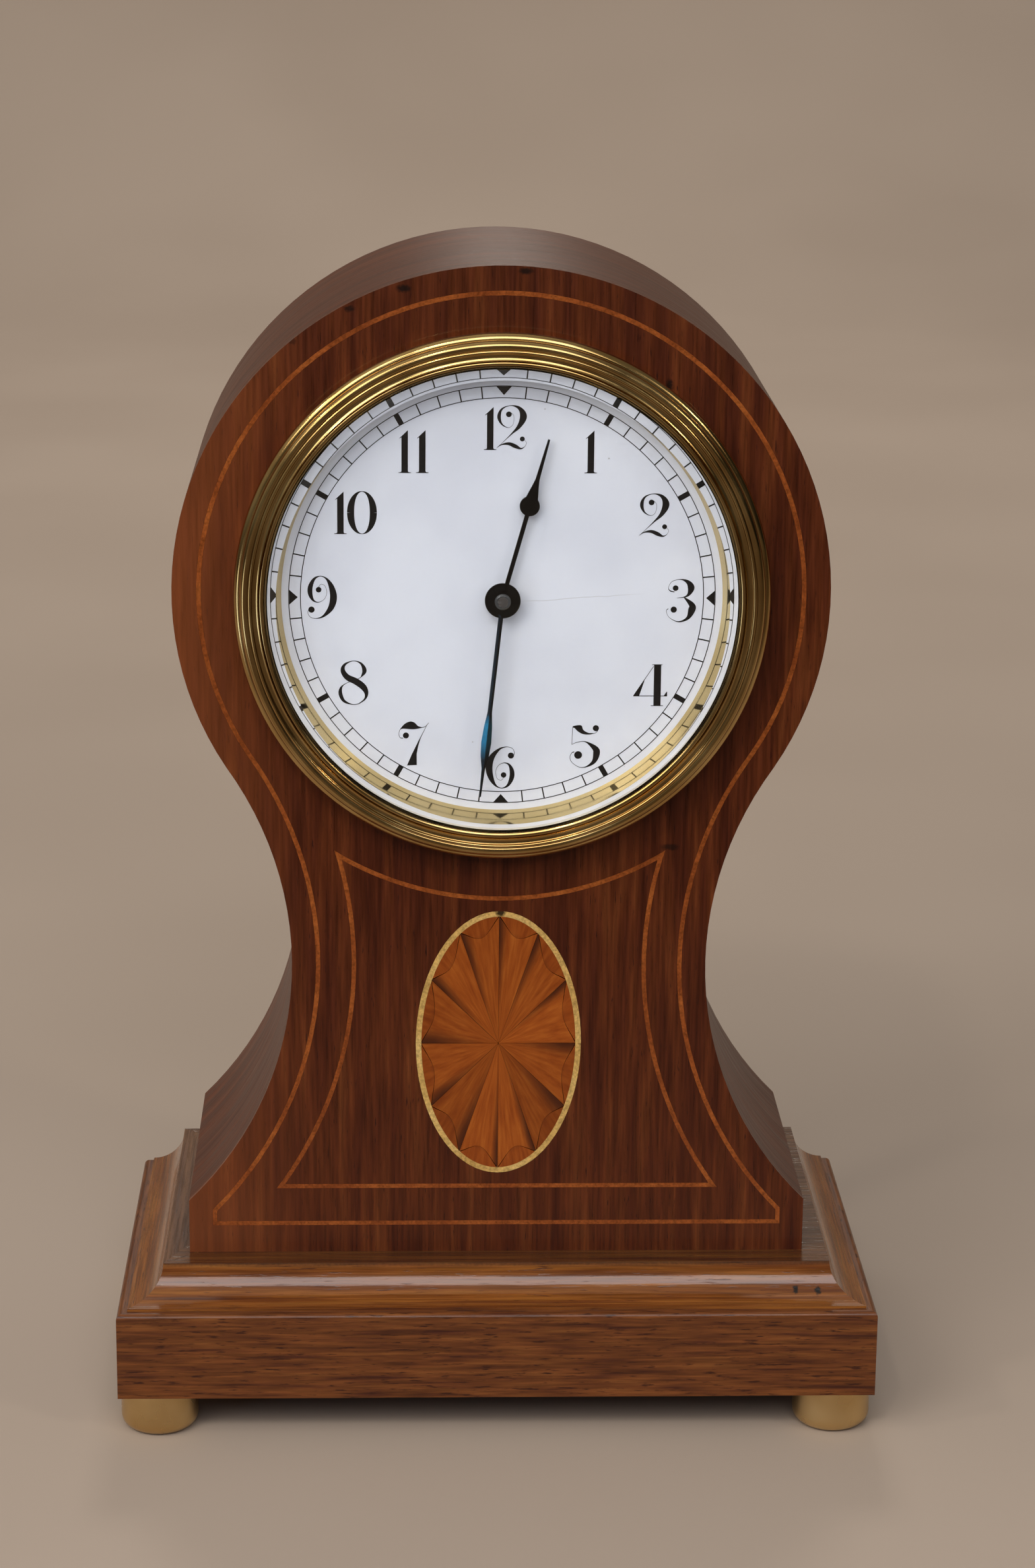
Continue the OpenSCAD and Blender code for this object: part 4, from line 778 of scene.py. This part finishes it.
def dress():
    """Gives each CAD node its material, and makes the finer pieces that stand for four of them."""
    front = wood("mahogany_front_polished", ("#431a0c", "#512310", "#602d14", "#713b1c"), "#2a1009",
                 ((3.2, 45), (0.55, 12), (0.34, 3.5)), paler_left=0.28,
                 marks=((30.65, 206.2, 0.9, 1.5, 0.9), (32.66, 116.9, 2.2, 0.8, 0.7),
                        (-18.6, 223.9, 1.7, 0.9, 0.9), (-28.5, 220.1, 1.3, 0.7, 0.8),
                        (-38.9, 214, 0.8, 0.8, 0.5), (3.9, 227.2, 1.6, 0.8, 0.9)))
    band = wood("mahogany_band_polished", ("#42190a", "#57260f", "#6c3315"), "#2b1008",
                ((2.6, 90), (0.4, 14), (0.32, 4)), along="xz", rough=0.38, coat=0.1)
    back = wood("mahogany_back_board", ("#44200f", "#55290f", "#683519"), "#2a120a",
                ((3.0, 150), (0.45, 18), (0.35, 5)), rough=0.45, coat=0.1)
    block = wood("mahogany_plinth_block", ("#4c2519", "#693a1d", "#7a4622", "#865128"), "#3a1c10",
                 ((1.1, 16), (0.4, 9), (0.5, 4)), along="x", sides=True, rough=0.36, coat=0.3, fleck=0.58)
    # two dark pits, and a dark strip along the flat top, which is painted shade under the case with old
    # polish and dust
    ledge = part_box("plinth_moulding")[1].z / MM
    moulding = wood("mahogany_plinth_moulding", ("#5a2b12", "#7a4319", "#8f5521", "#9c6227"), "#441f0d",
                    ((1.3, 40), (0.4, 14), (0.35, 5)), along="x", sides=True, rough=0.26, coat=1.0,
                    marks=((58.7, 28.4, 0.75, 0.75, 1), (63.1, 28.2, 0.75, 0.75, 1),
                           (0, ledge + 0.3, 200, 1.1, 0.55)))
    deal = wood("pine_carcass_planed", ("#8a6238", "#a57c4a", "#b98f5a"), "#6b4725",
                ((3.5, 140), (0.5, 20), (0.4, 6)), rough=0.6, coat=0.0)
    line = wood("dyed_stringing", ("#83401a", "#9a5022", "#ab5f2a"), "#5e2b12",
                ((6, 9), (0.5, 3), (0.3, 1)), along="", fleck=0.66)
    border = wood("boxwood_border", ("#cda35c", "#deb66c", "#e8c680"), "#94692d",
                  ((7, 7), (0.5, 2), (0.35, 1)), along="", fleck=0.7,
                  marks=((0.2, 103.9, 1.2, 1.5, 0.95), (16.4, 76.7, 1.0, 0.35, 0.7),
                         (-16.0, 69.8, 0.8, 0.3, 0.6)))
    petals = fan_veneer("satinwood_petals_sand_shaded", ("#7f3a10", "#914816", "#a1571e"), True)
    lunettes = fan_veneer("satinwood_lunettes", ("#76340e", "#864013", "#954d1a"), False)
    bezel = brass("turned_brass_lacquered", ("#ad8a54", "#c2a36c"), 0.15,
                  grooves=((48.58, 0.16), (47.47, 0.14), (46.78, 0.12)))
    sight = brass("turned_brass_polished", ("#cfb67c", "#d9c28c"), 0.09)
    rear = brass("turned_brass_rear", ("#b1945a", "#c6aa70"), 0.26)
    plates = brass("gilt_brass_movement", ("#bfa061", "#cfb276"), 0.32, turned="")
    feet = brass("turned_brass_feet", ("#c9a974", "#dcc08d"), 0.3, turned="upright")
    bright = steel("polished_steel", ("#8f9196", "#a9abb0"), 0.24, (1, 0.2, 1))
    # the leaf of the minute hand is teal, partly its blue temper colour and partly a painted reflection; the
    # end of the arbor is painted near white, a painted highlight
    blued = steel("blued_steel_minute_hand", ("#0c1013", "#182024"), 0.2,
                  ring=(22, 24, 27, 31), tint_and_sheen="#235a6c")
    # near-white centre: a painted highlight on the end of the arbor
    nut = steel("blued_steel_hand_nut", ("#4a4c50", "#63666b"), 0.5,
                ring=(-2, -1, 0.6, 1.0), tint_and_sheen="#efede8")
    dark = steel("blued_steel_hour_hand", ("#0c0f12", "#171c20"), 0.2)
    spring = steel("blued_spring_steel", ("#1b2436", "#2d3c58"), 0.26, (1, 0.1, 1))
    by_material = {
        front: ("front_veneer",),
        band: ("case_band",),
        back: ("back_board",),
        block: ("plinth_block",),
        moulding: ("plinth_moulding",),
        deal: ("floor_board", "front_board"),
        line: ("outer_stringing", "panel_stringing"),
        border: ("oval_border",),
        petals: ("fan_petals",),
        lunettes: ("fan_lunettes",),
        bezel: ("bezel",),
        sight: ("glass_ring",),
        rear: ("door", "door_ring", "door_knob", "set_knob"),
        feet: ("front_feet", "back_feet", "back_board_screws"),
        blued: ("minute_hand",),
        dark: ("hour_hand",),
        nut: ("hand_nut",),
        spring: ("mainspring", "hairspring"),
        bright: ("case_screws", "bezel_screws", "strap_screws", "hinge_pin", "plate_screws", "barrel_arbor",
                 "ratchet_wheel", "click", "click_spring", "winding_key", "centre_arbor", "pallet_lever",
                 "regulator", "cannon_pinion"),
        dial_enamel(): ("dial",),
        clear_glass(): ("glass",),
    }
    given = {name: material for material, names in by_material.items() for name in names}
    for name, piece in nodes.items():
        piece.data.materials.clear()
        piece.data.materials.append(given.get(name, plates))
    turn_on_lathe("turned_bezel", BEZEL_SECTION, "bezel", given["bezel"])
    turn_on_lathe("turned_glass_ring", RING_SECTION, "glass_ring", given["glass_ring"])
    turn_on_lathe("bevelled_glass", GLASS_SECTION, "glass", given["glass"])
    bend_click_spring(given["click_spring"])


aim_camera()
lay_stage()
light_studio()
light_room()
dress()
black = dial_black()
paint_numerals(black)
paint_track(black)
